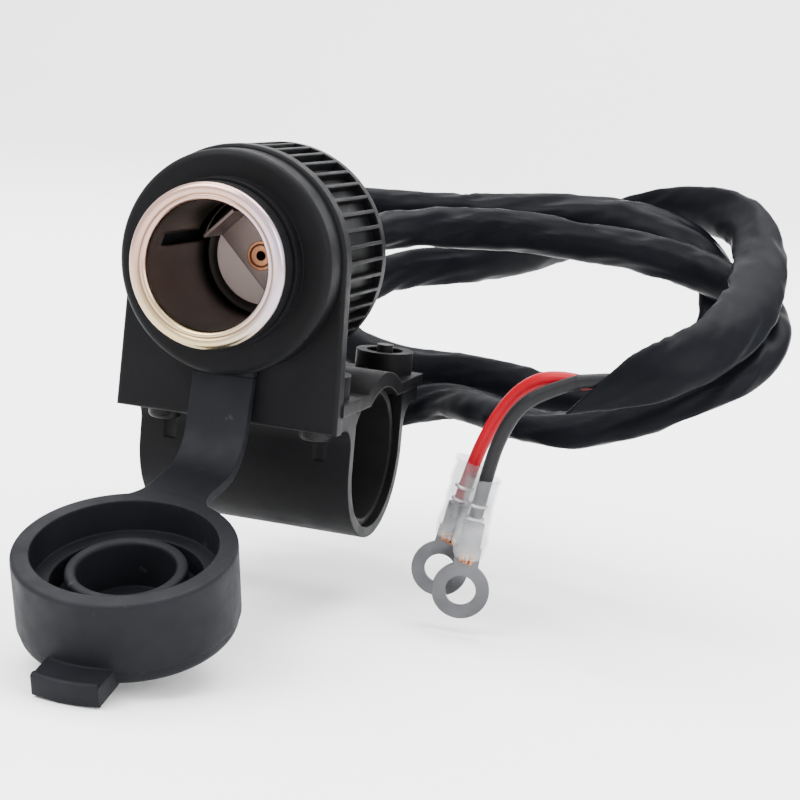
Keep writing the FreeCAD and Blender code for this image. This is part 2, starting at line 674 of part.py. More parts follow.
def make_rear_cap():
    """Ribbed screw-on cap: finger ribs closed by a rim, a dome behind them and a hole for the lead."""
    body = new_body("rear_cap")
    front = PLATE_START + " + Dims.plate_thick + Dims.cap_gap"
    thread = "Dims.barrel_radius + Dims.thread_gap"
    floor = "Dims.rib_radius - Dims.rib_depth"
    chamber = floor + " - Dims.cap_wall"
    inside_end = "Dims.dome_end - Dims.cap_wall"
    hole = "Dims.grommet_radius + Dims.grommet_gap"
    revolve(body, [
        (thread, front),
        ("Dims.rib_radius", front),
        ("Dims.rib_radius", "Dims.rim_end"),
        ("Dims.dome_radius", "Dims.rim_end"),
        ("Dims.dome_end_radius", "Dims.dome_end"),
        (hole, "Dims.dome_end"),
        (hole, inside_end),
        ("Dims.dome_end_radius - Dims.cap_wall", inside_end),
        (chamber, "Dims.rim_end"),
        (chamber, BARREL_END),
        (thread, BARREL_END),
    ])
    round_edges(body, "0.8 * Dims.cap_wall", ring_edge("Dims.dome_end_radius", "Dims.dome_end"))
    gap = new_sketch(body, "XY_Plane", "rib_gap", front)
    outer = "Dims.rib_radius + Dims.rib_depth"
    reach = "%s * pi / Dims.rib_count - Dims.rib_width / 2"
    inner_half = "(%s)" % (reach % ("(" + floor + ")"))
    outer_half = "(%s)" % (reach % ("(" + outer + ")"))
    outline(gap, [
        (floor, "-" + inner_half),
        (outer, "-" + outer_half),
        (outer, outer_half),
        (floor, inner_half),
    ])
    cut_one = pocket(body, gap, "Dims.rib_end - (%s)" % front, back=True)
    ribs = body.newObject("PartDesign::PolarPattern", "ribs")
    ribs.Originals = [cut_one]
    ribs.Axis = (next(f for f in body.Origin.OriginFeatures if f.Role == "Z_Axis"), [""])
    ribs.Angle = 360
    ribs.setExpression("Occurrences", "Dims.rib_count")
    body.Tip = ribs
    doc.recompute()
    seat_on_socket(body)


def make_grommet():
    """Rubber bush in the rear cap's cable hole."""
    body = new_body("cable_grommet")
    bore = "Dims.sleeve_radius + Dims.sleeve_clear"
    start = "Dims.dome_end - Dims.cap_wall"
    end = "Dims.dome_end + Dims.grommet_lip_thick"
    revolve(body, [
        (bore, start),
        ("Dims.grommet_radius", start),
        ("Dims.grommet_radius", "Dims.dome_end"),
        ("Dims.grommet_lip", "Dims.dome_end"),
        ("Dims.grommet_lip - Dims.grommet_lip_thick / 2", end),
        (bore, end),
    ])
    seat_on_socket(body)


def make_strap():
    """Rubber ring in the flange's seat and the strap that runs down from it and forward to the dust cap."""
    body = new_body("strap_ring")
    ring_start = PLATE_START + " - Dims.strap_gap - Dims.strap_thick"
    level = "(Dims.flange_radius + Dims.strap_gap)"
    washer = new_sketch(body, "XY_Plane", "washer", ring_start)
    circle(washer, RING_RADIUS)
    pad(body, washer, "Dims.strap_thick")
    tongue = new_sketch(body, "XY_Plane", "tongue", ring_start)
    half = "Dims.strap_width / 2"
    rectangle(tongue, "-" + half, half, "Dims.barrel_radius + Dims.strap_thick", level)
    pad(body, tongue, "Dims.strap_thick")
    eye = new_sketch(body, "XY_Plane", "eye", ring_start)
    circle(eye, "Dims.barrel_radius + Dims.strap_gap")
    pocket(body, eye, "Dims.strap_thick", back=True)
    seat_on_socket(body)

    strap = new_body("strap_moulding", kept=False)
    thick = "Dims.strap_thick"
    back_y = "(-Dims.plate_face - Dims.strap_gap)"
    lean_y = "(-Dims.plate_face - Dims.strap_gap - Dims.strap_lean)"
    front_y = "(%s - %s)" % (lean_y, thick)
    end_y = "(-Dims.dust_y + Dims.dust_radius - Dims.strap_flare_length / 2)"
    top = "Dims.socket_height - " + level
    end_z = "(-Dims.strap_low)"
    slope = "((Dims.strap_knee + Dims.strap_low) / (%s - %s))" % (front_y, end_y)
    heel = "(Dims.strap_knee + %s * %s - %s)" % (slope, thick, thick)
    side = new_sketch(strap, "YZ_Plane", "strap_side")
    outline(side, [
        (back_y, top),
        (lean_y, heel),
        (end_y, end_z + " - " + thick),
        (end_y, end_z),
        (front_y, "Dims.strap_knee"),
        (back_y + " - " + thick, top),
    ])
    pad(strap, side, "Dims.strap_flare", both=True)

    def across_strap(y, z):
        """Picks the edge that runs along the bar at this corner of the strap's side."""
        place = (number(y), number(z))

        def wanted(edge):
            box = edge.BoundBox
            return box.XLength > 1 and math.dist((box.Center.y, box.Center.z), place) < 1e-4

        return wanted

    round_edges(strap, "Dims.strap_bend", across_strap(lean_y, heel))
    round_edges(strap, "Dims.strap_bend - Dims.strap_thick", across_strap(front_y, "Dims.strap_knee"))
    trim = new_sketch(strap, "XY_Plane", "strap_trim")
    flare_y = end_y + " + Dims.strap_flare_length * 1.5"
    behind_y = "(-Dims.plate_face + Dims.strap_thick)"
    for sign in ("", "-"):
        near = sign + "Dims.strap_width / 2"
        wide = sign + "Dims.strap_flare / 2"
        past = sign + "Dims.strap_flare"
        outline(trim, [(near, behind_y), (past, behind_y), (past, end_y), (wide, end_y), (near, flare_y)])
    pocket(strap, trim, "4 * Dims.socket_height", both=True)
    cap_room = rod("cap_room", "Dims.dust_radius + Dims.cap_clear", "0", "2 * Dims.dust_height")
    seat_dust_cap(cap_room)
    keep(cut("cap_strap", strap, cap_room), "cap_strap")


def seat_dust_cap(piece):
    """Lays a piece made along +Z where the open dust cap lies, with its rim up and tilted to the front."""
    piece.Placement = Placement(Vector(0, 0, 0), Rotation(Vector(1, 0, 0), number("Dims.dust_tilt")))
    piece.setExpression("Placement.Base.y", "-Dims.dust_y + Dims.dust_height * sin(Dims.dust_tilt * 1deg)")
    piece.setExpression("Placement.Base.z", "-Dims.dust_z - Dims.dust_height * cos(Dims.dust_tilt * 1deg)")


def make_dust_cap():
    """Rubber cap lying open on its strap: skirt, inner plug and a pull tab opposite the strap."""
    body = new_body("dust_cap")
    step = "Dims.dust_radius - Dims.dust_band_step"
    revolve(body, [
        ("0", "0"),
        (step, "0"),
        (step, "Dims.dust_band"),
        ("Dims.dust_radius", "Dims.dust_band"),
        ("Dims.dust_radius", "Dims.dust_height"),
        ("Dims.dust_bore", "Dims.dust_height"),
        ("Dims.dust_bore", "Dims.dust_height - Dims.dust_ledge"),
        ("Dims.dust_groove_radius", "Dims.dust_height - Dims.dust_ledge"),
        ("Dims.dust_groove_radius", "Dims.dust_height - Dims.dust_groove_depth"),
        ("Dims.dust_plug_radius", "Dims.dust_height - Dims.dust_groove_depth"),
        ("Dims.dust_plug_radius", "Dims.dust_height - Dims.dust_plug_drop"),
        ("Dims.dust_plug_hole", "Dims.dust_height - Dims.dust_plug_drop"),
        ("Dims.dust_plug_hole", "Dims.dust_height - Dims.dust_hole_depth"),
        ("0", "Dims.dust_height - Dims.dust_hole_depth"),
    ])
    round_edges(body, "Dims.dust_round", ring_edge(step, "0"))
    round_edges(body, "Dims.dust_rim_round", ring_edge("Dims.dust_radius", "Dims.dust_height"))
    plug_top = "Dims.dust_height - Dims.dust_plug_drop"
    round_edges(body, "Dims.dust_plug_round", ring_edge("Dims.dust_plug_radius", plug_top))
    round_edges(body, "Dims.dust_plug_round", ring_edge("Dims.dust_plug_hole", plug_top))
    tab = new_sketch(body, "XY_Plane", "pull_tab")
    half = "Dims.tab_lip_width / 2"
    rectangle(tab, "-" + half, half, "-Dims.dust_radius - Dims.tab_lip_reach", "-Dims.dust_plug_radius")
    pad(body, tab, "Dims.tab_lip_thick")
    tip = -number("Dims.dust_radius + Dims.tab_lip_reach")

    def tab_tip(edge):
        box = edge.BoundBox
        return abs(box.Center.y - tip) < 1e-4 and box.YLength < 1e-4 and box.XLength > 1

    round_edges(body, "Dims.tab_lip_round", tab_tip)
    seat_dust_cap(body)


def route_wire(points):
    """Straight runs joined by tangent arcs, each as large as its two runs allow; also gives the radii."""
    edges = []
    radii = []
    last = points[0]
    for before, corner, after in zip(points, points[1:], points[2:]):
        into = (corner - before).normalize()
        out = (after - corner).normalize()
        turn = into.getAngle(out)
        shorter = min((corner - before).Length, (after - corner).Length)
        setback = ARC_SHARE * shorter
        start = corner - into * setback
        end = corner + out * setback
        radius = setback / math.tan(turn / 2)
        to_centre = (out - into).normalize()
        centre = corner + to_centre * (radius / math.cos(turn / 2))
        middle = centre - to_centre * radius
        edges.append(Part.LineSegment(last, start).toShape())
        edges.append(Part.Arc(start, middle, end).toShape())
        radii.append(radius)
        last = end
    edges.append(Part.LineSegment(last, points[-1]).toShape())
    return Part.Wire(edges), radii


def make_tube(label, points, radius):
    """A plain round tube along a route; its volume is held against section times length."""
    wire, radii = route_wire([Vector(*p) for p in points])
    heading = (Vector(*points[1]) - Vector(*points[0])).normalize()
    section = Part.Wire([Part.Circle(Vector(*points[0]), heading, radius).toShape()])
    solid = wire.makePipeShell([section], True, False)
    expected = math.pi * radius ** 2 * wire.Length
    if abs(solid.Volume - expected) > 0.01 * expected:
        raise RuntimeError("%s: volume %.1f, expected %.1f" % (label, solid.Volume, expected))
    piece = doc.addObject("Part::Feature", label)
    piece.Shape = solid
    keep(piece, label)
    print("%s length %.1f, radii %s" % (label, wire.Length, " ".join("%.1f" % r for r in radii)))


def terminal_axis(lean):
    """Direction from a ring terminal's hole up its crimp barrel."""
    return Vector(math.sin(math.radians(lean)), 0, math.cos(math.radians(lean)))


def make_terminal(colour, centre, lean):
    """Ring terminal with its crimp barrel, and the clear sleeve over the barrel."""
    neck = "-Dims.ring_neck_width / 2"
    flat = "-Dims.ring_thick / 2"
    ring = rod(colour + "_ring", "Dims.ring_terminal_radius", flat, "Dims.ring_thick")
    strip = block(colour + "_neck", neck, "0", flat, "Dims.ring_neck_width",
                  "Dims.ring_barrel_start + Dims.ring_thick", "Dims.ring_thick")
    hole = rod(colour + "_hole", "Dims.ring_hole_radius", flat, "Dims.ring_thick")
    barrel = rod(colour + "_barrel", "Dims.boot_bore", "0", "Dims.ring_barrel_length")
    barrel.Placement.Rotation = Rotation(Vector(1, 0, 0), -90)
    barrel.setExpression("Placement.Base.y", "Dims.ring_barrel_start")
    name = colour + "_ring_terminal"
    eye = cut(colour + "_eye", fuse(colour + "_flat", [ring, strip]), hole)
    terminal = keep(fuse(name, [eye, barrel]), name)
    boot_solid = rod(colour + "_boot", "Dims.boot_radius", "0", "Dims.boot_length")
    boot_bore = rod(colour + "_boot_bore", "Dims.boot_bore", "0", "Dims.boot_length")
    slot = block(colour + "_boot_slot", neck + " - Dims.contact_gap", flat + " - Dims.contact_gap",
                 "0", "Dims.ring_neck_width + 2 * Dims.contact_gap", "Dims.ring_thick + 2 * Dims.contact_gap",
                 "Dims.ring_barrel_start - Dims.boot_start + Dims.ring_thick + Dims.contact_gap")
    name = colour + "_terminal_sleeve"
    boot = keep(cut(name, boot_solid, fuse(colour + "_boot_cuts", [boot_bore, slot])), name)
    face = Rotation(Vector(0, 1, 0), lean).multiply(Rotation(Vector(0, 0, 1), RING_FACE_TURN))
    upright = face.multiply(Rotation(Vector(1, 0, 0), 90))
    terminal.Placement = Placement(centre, upright)
    boot.Placement = Placement(centre + terminal_axis(lean) * number("Dims.boot_start"), face)


def make_lead():
    """Sleeved lead, its two free wires with their terminals, and the wires inside the rear cap."""
    wire = number("Dims.wire_radius")
    make_tube("cable_sleeve", SLEEVE_ROUTE, number("Dims.sleeve_radius"))
    end = Vector(*SLEEVE_ROUTE[-1])
    heading = (end - Vector(*SLEEVE_ROUTE[-2])).normalize()
    across = heading.cross(Vector(0, 1, 0)).normalize() * number("Dims.wire_spread")
    gap = number("Dims.wire_gap")
    barrel_top = number("Dims.ring_barrel_start + Dims.ring_barrel_length")
    ends = {"red": (-across, RED_ROUTE, RED_RING, RED_LEAN),
            "black": (across, BLACK_ROUTE, BLACK_RING, BLACK_LEAN)}
    for colour, (shift, route, ring, lean) in ends.items():
        start = end + shift + heading * gap
        stop = ring + terminal_axis(lean) * (barrel_top + gap)
        make_tube(colour + "_lead", [tuple(start)] + route + [tuple(stop)], wire)
        make_terminal(colour, ring, lean)
    lip = -number("Dims.lip_reach")
    height = number("Dims.socket_height")
    from_y = lip + number(CONNECTOR_START + " + Dims.connector_length + Dims.crimp_length")
    to_y = lip + number("Dims.sleeve_start")
    sides = {"positive": number("Dims.positive_offset - Dims.tab_thick / 2"),
             "negative": number("-Dims.negative_offset + Dims.tab_thick / 2")}
    for pole, x in sides.items():
        near = math.copysign(number("Dims.wire_spread"), x)
        third = (to_y - from_y) / 3
        make_tube(pole + "_inner_lead", [
            (x, from_y, height),
            (x, from_y + third, height),
            (near, to_y - third, height),
            (near, to_y, height),
        ], wire)


make_bracket()
make_lower_clamp()
make_clamp_pad()
make_fasteners()
make_barrel()
make_liner()
make_contacts()
make_rear_cap()
make_grommet()
make_strap()
make_dust_cap()
make_lead()
doc.recompute()

faults = [o.Label for o in doc.Objects if "Invalid" in o.State or "Error" in o.State]
faults += [p.Label for p in pieces if p.Shape.isNull() or not p.Shape.isValid()]
if faults:
    raise RuntimeError("failed objects: " + ", ".join(faults))
os.makedirs("parts", exist_ok=True)
for piece in pieces:
    piece.Shape.exportStep("parts/%s.step" % piece.Label)
print("%d sub-parts written" % len(pieces))
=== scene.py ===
"""Looks of the handlebar accessory power socket: materials, lead, light and the photograph's camera."""
import json
import math
import bmesh
import bpy
from mathutils import Matrix, Vector, noise


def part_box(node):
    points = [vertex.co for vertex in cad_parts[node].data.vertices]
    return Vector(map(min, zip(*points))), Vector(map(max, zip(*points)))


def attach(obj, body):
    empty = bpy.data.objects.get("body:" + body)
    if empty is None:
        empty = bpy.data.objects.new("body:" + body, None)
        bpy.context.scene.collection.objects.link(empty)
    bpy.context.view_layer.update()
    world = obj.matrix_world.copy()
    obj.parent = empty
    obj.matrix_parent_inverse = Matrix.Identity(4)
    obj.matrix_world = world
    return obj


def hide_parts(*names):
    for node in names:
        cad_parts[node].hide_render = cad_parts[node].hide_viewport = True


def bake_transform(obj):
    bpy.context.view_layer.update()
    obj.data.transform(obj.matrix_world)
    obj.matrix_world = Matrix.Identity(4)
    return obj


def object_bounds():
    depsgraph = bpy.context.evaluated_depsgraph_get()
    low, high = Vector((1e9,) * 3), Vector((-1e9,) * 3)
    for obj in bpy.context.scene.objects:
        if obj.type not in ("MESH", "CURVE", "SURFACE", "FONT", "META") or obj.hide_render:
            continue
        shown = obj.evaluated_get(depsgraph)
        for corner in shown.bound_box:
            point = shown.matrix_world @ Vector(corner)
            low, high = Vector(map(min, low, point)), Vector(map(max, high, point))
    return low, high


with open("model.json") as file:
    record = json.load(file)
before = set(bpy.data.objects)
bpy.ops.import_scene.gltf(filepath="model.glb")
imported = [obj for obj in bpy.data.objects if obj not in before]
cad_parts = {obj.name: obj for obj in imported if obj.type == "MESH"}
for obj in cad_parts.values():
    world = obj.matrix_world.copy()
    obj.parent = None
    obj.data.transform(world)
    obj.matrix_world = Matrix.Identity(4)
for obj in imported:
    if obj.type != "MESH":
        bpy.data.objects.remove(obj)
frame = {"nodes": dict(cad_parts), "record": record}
cad_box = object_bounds()
nodes = frame["nodes"]
MM = 0.001

# Centre lines in millimetres, as in the part's source
SLEEVE_ROUTE = [
    (0, 7.4, 34), (0, 15, 34), (2.5, 24, 35), (9, 31.5, 37), (19, 36, 38.2), (32, 37, 38.8),
    (45, 37, 38.4), (58, 36.5, 37.2), (69.5, 34, 35.2), (78.5, 28, 32), (83, 18.5, 27.8), (81, 9, 23),
    (73.5, 3, 18), (62.5, 2, 12.2), (51, 5, 8.3), (41, 11.5, 7.5), (31.5, 20.5, 7.8), (21, 29.5, 6.5),
    (8, 32.2, 1.2), (-5, 33.9, -0.3), (-17, 34.9, 3.5), (-24.4, 37.4, 13.4), (-24.4, 40.6, 25.6),
    (-17, 43.1, 35.5), (-5, 44.6, 39.3), (8, 46, 39.4), (20, 46.6, 40.3), (31.5, 46.6, 41.7),
    (42.5, 46.9, 42.6), (53, 46.9, 42.2), (63.6, 45.2, 39.2), (70.2, 40.8, 31.4), (70.2, 35.2, 21.6),
    (63.6, 30.8, 13.8), (53, 29.1, 10.8), (43, 29.8, 10.4), (34, 32.5, 10.7), (23, 36.6, 10.9),
    (10.5, 40.6, 9.8), (-2, 44.2, 11.2), (-10, 53.4, 15.3), (-10, 64.8, 20.5), (-2.3, 74.2, 24.9),
    (10, 78, 26.6), (24, 74.5, 31), (36, 67.5, 36.8), (46.5, 60.5, 41.6), (56, 55.6, 44.8),
    (65, 50.5, 46), (72.3, 42.5, 44.8), (76.8, 32, 41.6), (79, 20.5, 37), (79, 9.8, 31.8),
    (75.5, 1, 26.6), (69.6, -4.6, 22.9), (62.8, -6.8, 20.4), (56.6, -7.2, 18.8),
]
LEAD_ROUTES = {
    "red": [(50.8, -5.8, 19.6), (45.2, -4.2, 16.6), (41.6, -3.4, 11.6), (39.2, -3.1, 6.4), (37.6, -3, 1.4)],
    "black": [(51, -7.9, 17.4), (46, -8.1, 14), (43.2, -8, 8.2), (41.8, -8.1, 2.2)],
}
# Where a wire leaves the sleeve's mouth: share of the spread across it, and offset along Y
WIRE_SPREAD = 1.5
LEAD_STARTS = {"red": (0.2, 1.5), "black": (-0.6, -1.3)}
# Middle of each terminal's ring, and the lean of its neck in degrees
TERMINALS = {
    "red": {"ring": Vector((33.6, -3, -17)), "lean": 11.5},
    "black": {"ring": Vector((39, -8, -18.9)), "lean": 6.0},
}
BARREL_TOP = 12.0
WIRE_GAP = 0.4
SLEEVE_DIAMETER = 7.0
WIRE_DIAMETER = 2.4

# Camera fitted to the photograph
CAMERA_PLACE = Vector((128.05, -339.97, 72.40)) * MM
CAMERA_AZIMUTH = math.radians(17.21)
CAMERA_ELEVATION = math.radians(9.85)
CAMERA_ROLL = math.radians(5.26)
LENS = 93.8
SENSOR_WIDTH = 36
NEAR_CLIP = 0.01


def place_camera():
    """The camera at the photograph's viewing angle, tilted as the photograph is."""
    camera = bpy.data.objects.new("photo_camera", bpy.data.cameras.new("photo_camera"))
    bpy.context.scene.collection.objects.link(camera)
    right = Vector((math.cos(CAMERA_AZIMUTH), math.sin(CAMERA_AZIMUTH), 0))
    level = Vector((-math.sin(CAMERA_AZIMUTH), math.cos(CAMERA_AZIMUTH), 0))
    forward = level * math.cos(CAMERA_ELEVATION) - Vector((0, 0, math.sin(CAMERA_ELEVATION)))
    up = right.cross(forward)
    x_axis = right * math.cos(CAMERA_ROLL) + up * math.sin(CAMERA_ROLL)
    y_axis = up * math.cos(CAMERA_ROLL) - right * math.sin(CAMERA_ROLL)
    turn = Matrix((x_axis, y_axis, -forward)).transposed()
    camera.matrix_world = Matrix.Translation(CAMERA_PLACE) @ turn.to_4x4()
    camera.data.lens = LENS
    camera.data.sensor_width = SENSOR_WIDTH
    camera.data.clip_start = NEAR_CLIP
    camera.data.dof.use_dof = False
    bpy.context.scene.camera = camera


# Sockets of a mix node that carry its factor, its two colours and its mixed colour
MIX_FACTOR = 0
MIX_FIRST = 6
MIX_SECOND = 7
MIX_RESULT = 2
BEVEL_SAMPLES = 6


class Shader:
    """A node material built up from a principled shader."""

    def __init__(self, name):
        self.material = bpy.data.materials.new(name)
        self.material.use_nodes = True
        self.tree = self.material.node_tree
        self.bsdf = self.tree.nodes["Principled BSDF"]
        self.coords = self.tree.nodes.new("ShaderNodeTexCoord")

    def node(self, kind, **settings):
        made = self.tree.nodes.new(kind)
        for key, value in settings.items():
            setattr(made, key, value)
        return made

    def link(self, output, socket):
        self.tree.links.new(output, socket)

    def noise(self, scale, detail=3.0):
        """Cloudy noise in the object's own frame."""
        texture = self.node("ShaderNodeTexNoise")
        texture.inputs["Scale"].default_value = scale
        texture.inputs["Detail"].default_value = detail
        self.link(self.coords.outputs["Object"], texture.inputs["Vector"])
        return texture.outputs["Fac"]

    def span(self, source, low, high, start=0.3, end=0.7):
        """Maps a value between start and end to a range from low to high."""
        ranged = self.node("ShaderNodeMapRange")
        ranged.inputs["From Min"].default_value = start
        ranged.inputs["From Max"].default_value = end
        ranged.inputs["To Min"].default_value = low
        ranged.inputs["To Max"].default_value = high
        self.link(source, ranged.inputs["Value"])
        return ranged.outputs["Result"]

    def along(self, axis):
        """Position along X, Y or Z in the object's own frame."""
        parts = self.node("ShaderNodeSeparateXYZ")
        self.link(self.coords.outputs["Object"], parts.inputs["Vector"])
        return parts.outputs[axis]

    def from_axis(self, height):
        """Distance from the socket's axis, which runs along Y at a height."""
        shifted = self.node("ShaderNodeVectorMath", operation="SUBTRACT")
        shifted.inputs[1].default_value = (0, 0, height)
        self.link(self.coords.outputs["Object"], shifted.inputs[0])
        flat = self.node("ShaderNodeVectorMath", operation="MULTIPLY")
        flat.inputs[1].default_value = (1, 0, 1)
        self.link(shifted.outputs["Vector"], flat.inputs[0])
        length = self.node("ShaderNodeVectorMath", operation="LENGTH")
        self.link(flat.outputs["Vector"], length.inputs[0])
        return length.outputs["Value"]

    def ring(self, height, inner, outer):
        """One on a ring about the socket's axis that fades over an inner and an outer range of radii."""
        distance = self.from_axis(height)
        rise = self.span(distance, 0, 1, inner[0], inner[1])
        fall = self.span(distance, 1, 0, outer[0], outer[1])
        return self.times(rise, fall)

    def times(self, first, second):
        product = self.node("ShaderNodeMath", operation="MULTIPLY")
        self.link(first, product.inputs[0])
        self.link(second, product.inputs[1])
        return product.outputs["Value"]

    def mix(self, factor, first, second):
        """A colour between two, each a plain colour or another node's output."""
        mixer = self.node("ShaderNodeMix", data_type="RGBA")
        self.link(factor, mixer.inputs[MIX_FACTOR])
        for colour, socket in ((first, mixer.inputs[MIX_FIRST]), (second, mixer.inputs[MIX_SECOND])):
            if isinstance(colour, tuple):
                socket.default_value = (*colour, 1)
            else:
                self.link(colour, socket)
        return mixer.outputs[MIX_RESULT]

    def colour(self, source):
        self.link(source, self.bsdf.inputs["Base Color"])

    def rough(self, source):
        self.link(source, self.bsdf.inputs["Roughness"])

    def surface(self, height, strength, distance, edge):
        """Grain as a bump, on edges that are slightly rounded."""
        bevel = self.node("ShaderNodeBevel", samples=BEVEL_SAMPLES)
        bevel.inputs["Radius"].default_value = edge
        bump = self.node("ShaderNodeBump")
        bump.inputs["Strength"].default_value = strength
        bump.inputs["Distance"].default_value = distance
        self.link(height, bump.inputs["Height"])
        self.link(bevel.outputs["Normal"], bump.inputs["Normal"])
        self.link(bump.outputs["Normal"], self.bsdf.inputs["Normal"])

    def set(self, **sockets):
        """Constants for the principled shader, each named as its socket with underscores for spaces."""
        for name, value in sockets.items():
            self.bsdf.inputs[name.replace("_", " ")].default_value = value


PATCHES = 60
GRAIN_DEPTH = 0.05 * MM
PLATING_DEPTH = 0.04 * MM
METAL_EDGE = 0.2 * MM


def grained(name, dark, light, rough, grain=2600, bump=0.25, edge=0.35 * MM, **sockets):
    """A solid colour with soft patches, a changing gloss and a fine grain."""
    shader = Shader(name)
    patch = shader.noise(PATCHES, detail=4)
    shader.colour(shader.mix(shader.span(patch, 0, 1), dark, light))
    shader.rough(shader.span(shader.noise(PATCHES * 4, detail=5), rough[0], rough[1]))
    shader.surface(shader.noise(grain, detail=2), bump, GRAIN_DEPTH, edge)
    shader.set(**sockets)
    return shader.material


def scuffed_rubber():
    """Bluish black rubber with a dusty bloom in patches and a few pale scuffs."""
    dark = (0.0038, 0.004, 0.0051)
    dusty = (0.0066, 0.007, 0.0089)
    pale = (0.045, 0.045, 0.05)
    shader = Shader("cap_rubber")
    bloom = shader.mix(shader.span(shader.noise(70, detail=5), 0, 1), dark, dusty)
    scuff = shader.span(shader.noise(420, detail=3), 0, 0.3, start=0.69, end=0.76)
    shader.colour(shader.mix(scuff, bloom, pale))
    shader.rough(shader.span(shader.noise(240, detail=5), 0.5, 0.66))
    shader.surface(shader.noise(1900, detail=3), strength=0.35, distance=GRAIN_DEPTH, edge=0.5 * MM)
    shader.set(Specular_IOR_Level=0.1)
    return shader.material


CRIMP_Z = -6.5 * MM
CRIMP_FADE = 2 * MM


def clear_vinyl():
    """Clear tube: see-through in patches, greyish round the wire and milky round the crimp."""
    greyish = (0.16, 0.163, 0.17)
    milky = (0.5, 0.5, 0.51)
    shader = Shader("clear_vinyl")
    crimped = shader.span(shader.along("Z"), 1, 0, start=CRIMP_Z - CRIMP_FADE, end=CRIMP_Z + CRIMP_FADE)
    shader.colour(shader.mix(crimped, greyish, milky))
    shader.set(Roughness=0.18)
    shader.surface(shader.noise(700, detail=3), strength=0.5, distance=0.12 * MM, edge=0.2 * MM)
    shader.link(shader.span(shader.noise(330, detail=4), 0.13, 0.3), shader.bsdf.inputs["Alpha"])
    return shader.material


def metal_finish(shader, rough):
    """Gloss and fine unevenness that plated pieces share."""
    shader.rough(shader.span(shader.noise(500, detail=4), rough[0], rough[1]))
    shader.surface(shader.noise(1500, detail=3), strength=0.2, distance=PLATING_DEPTH, edge=METAL_EDGE)
    shader.set(Metallic=1.0)


def plated(name, dark, light, rough):
    """Plated metal with a changing tint and gloss."""
    shader = Shader(name)
    shader.colour(shader.mix(shader.span(shader.noise(160, detail=5), 0, 1), dark, light))
    metal_finish(shader, rough)
    return shader.material


LIP_PLANE = -36.6 * MM
SOCKET_HEIGHT = 34.0
# Radii over which the brown painted shade in the groove between the lip's beads comes and goes
GROOVE_INNER = (11.2 * MM, 11.4 * MM)
GROOVE_OUTER = (11.46 * MM, 11.8 * MM)


def plated_liner():
    """Plated cup: pink and straw tints on the rolled lip, brown painted shade in the groove between its
    beads, and a dull brown well with painted shade that deepens to its corner.
    """
    pink = (0.44, 0.275, 0.225)
    straw = (0.44, 0.345, 0.18)
    violet = (0.4, 0.355, 0.44)
    groove_painted_shade = (0.2, 0.12, 0.07)
    well_dark = (0.16, 0.135, 0.12)
    well_light = (0.23, 0.193, 0.172)
    # Painted shade at the well's corner
    corner = (0.014, 0.0115, 0.0105)
    shader = Shader("plated_liner")
    depth = shader.along("Y")
    low = shader.span(shader.along("Z"), 1, 0, start=22 * MM, end=36 * MM)
    tints = shader.mix(low, pink, straw)
    to_right = shader.span(shader.along("X"), 0, 1, start=2 * MM, end=12 * MM)
    right = shader.times(to_right, shader.span(shader.noise(110, detail=2), 0.4, 1))
    lip = shader.mix(right, tints, violet)
    # Brown painted shade in the groove between the lip's beads
    lip = shader.mix(shader.ring(SOCKET_HEIGHT * MM, GROOVE_INNER, GROOVE_OUTER), lip, groove_painted_shade)
    well = shader.mix(shader.span(shader.noise(45, detail=4), 0, 1), well_dark, well_light)
    # Painted shade that deepens down the well towards its corner
    shade_to_corner = shader.span(depth, 0, 1, start=LIP_PLANE + 19 * MM, end=LIP_PLANE + 24.5 * MM)
    well = shader.mix(shade_to_corner, well, corner)
    inside = shader.span(depth, 0, 1, start=LIP_PLANE + 0.45 * MM, end=LIP_PLANE + 0.9 * MM)
    shader.colour(shader.mix(inside, lip, well))
    shader.rough(shader.span(inside, 0.24, 0.36, start=0, end=1))
    shader.surface(shader.noise(900, detail=3), strength=0.12, distance=PLATING_DEPTH, edge=0.25 * MM)
    shader.set(Metallic=1.0)
    return shader.material


# Radii over which the painted shade ring round the rivet's mouth comes and goes
RIVET_INNER = (1.55 * MM, 1.8 * MM)
RIVET_OUTER = (1.95 * MM, 2.15 * MM)


def copper_rivet():
    """Copper, with painted shade in a ring round the rivet's mouth."""
    dark = (0.2, 0.075, 0.035)
    light = (0.36, 0.17, 0.09)
    shade = (0.03, 0.012, 0.007)
    shader = Shader("copper_rivet")
    copper = shader.mix(shader.span(shader.noise(160, detail=5), 0, 1), dark, light)
    # Painted shade in a ring round the rivet's mouth
    shader.colour(shader.mix(shader.ring(SOCKET_HEIGHT * MM, RIVET_INNER, RIVET_OUTER), copper, shade))
    metal_finish(shader, (0.2, 0.32))
    return shader.material


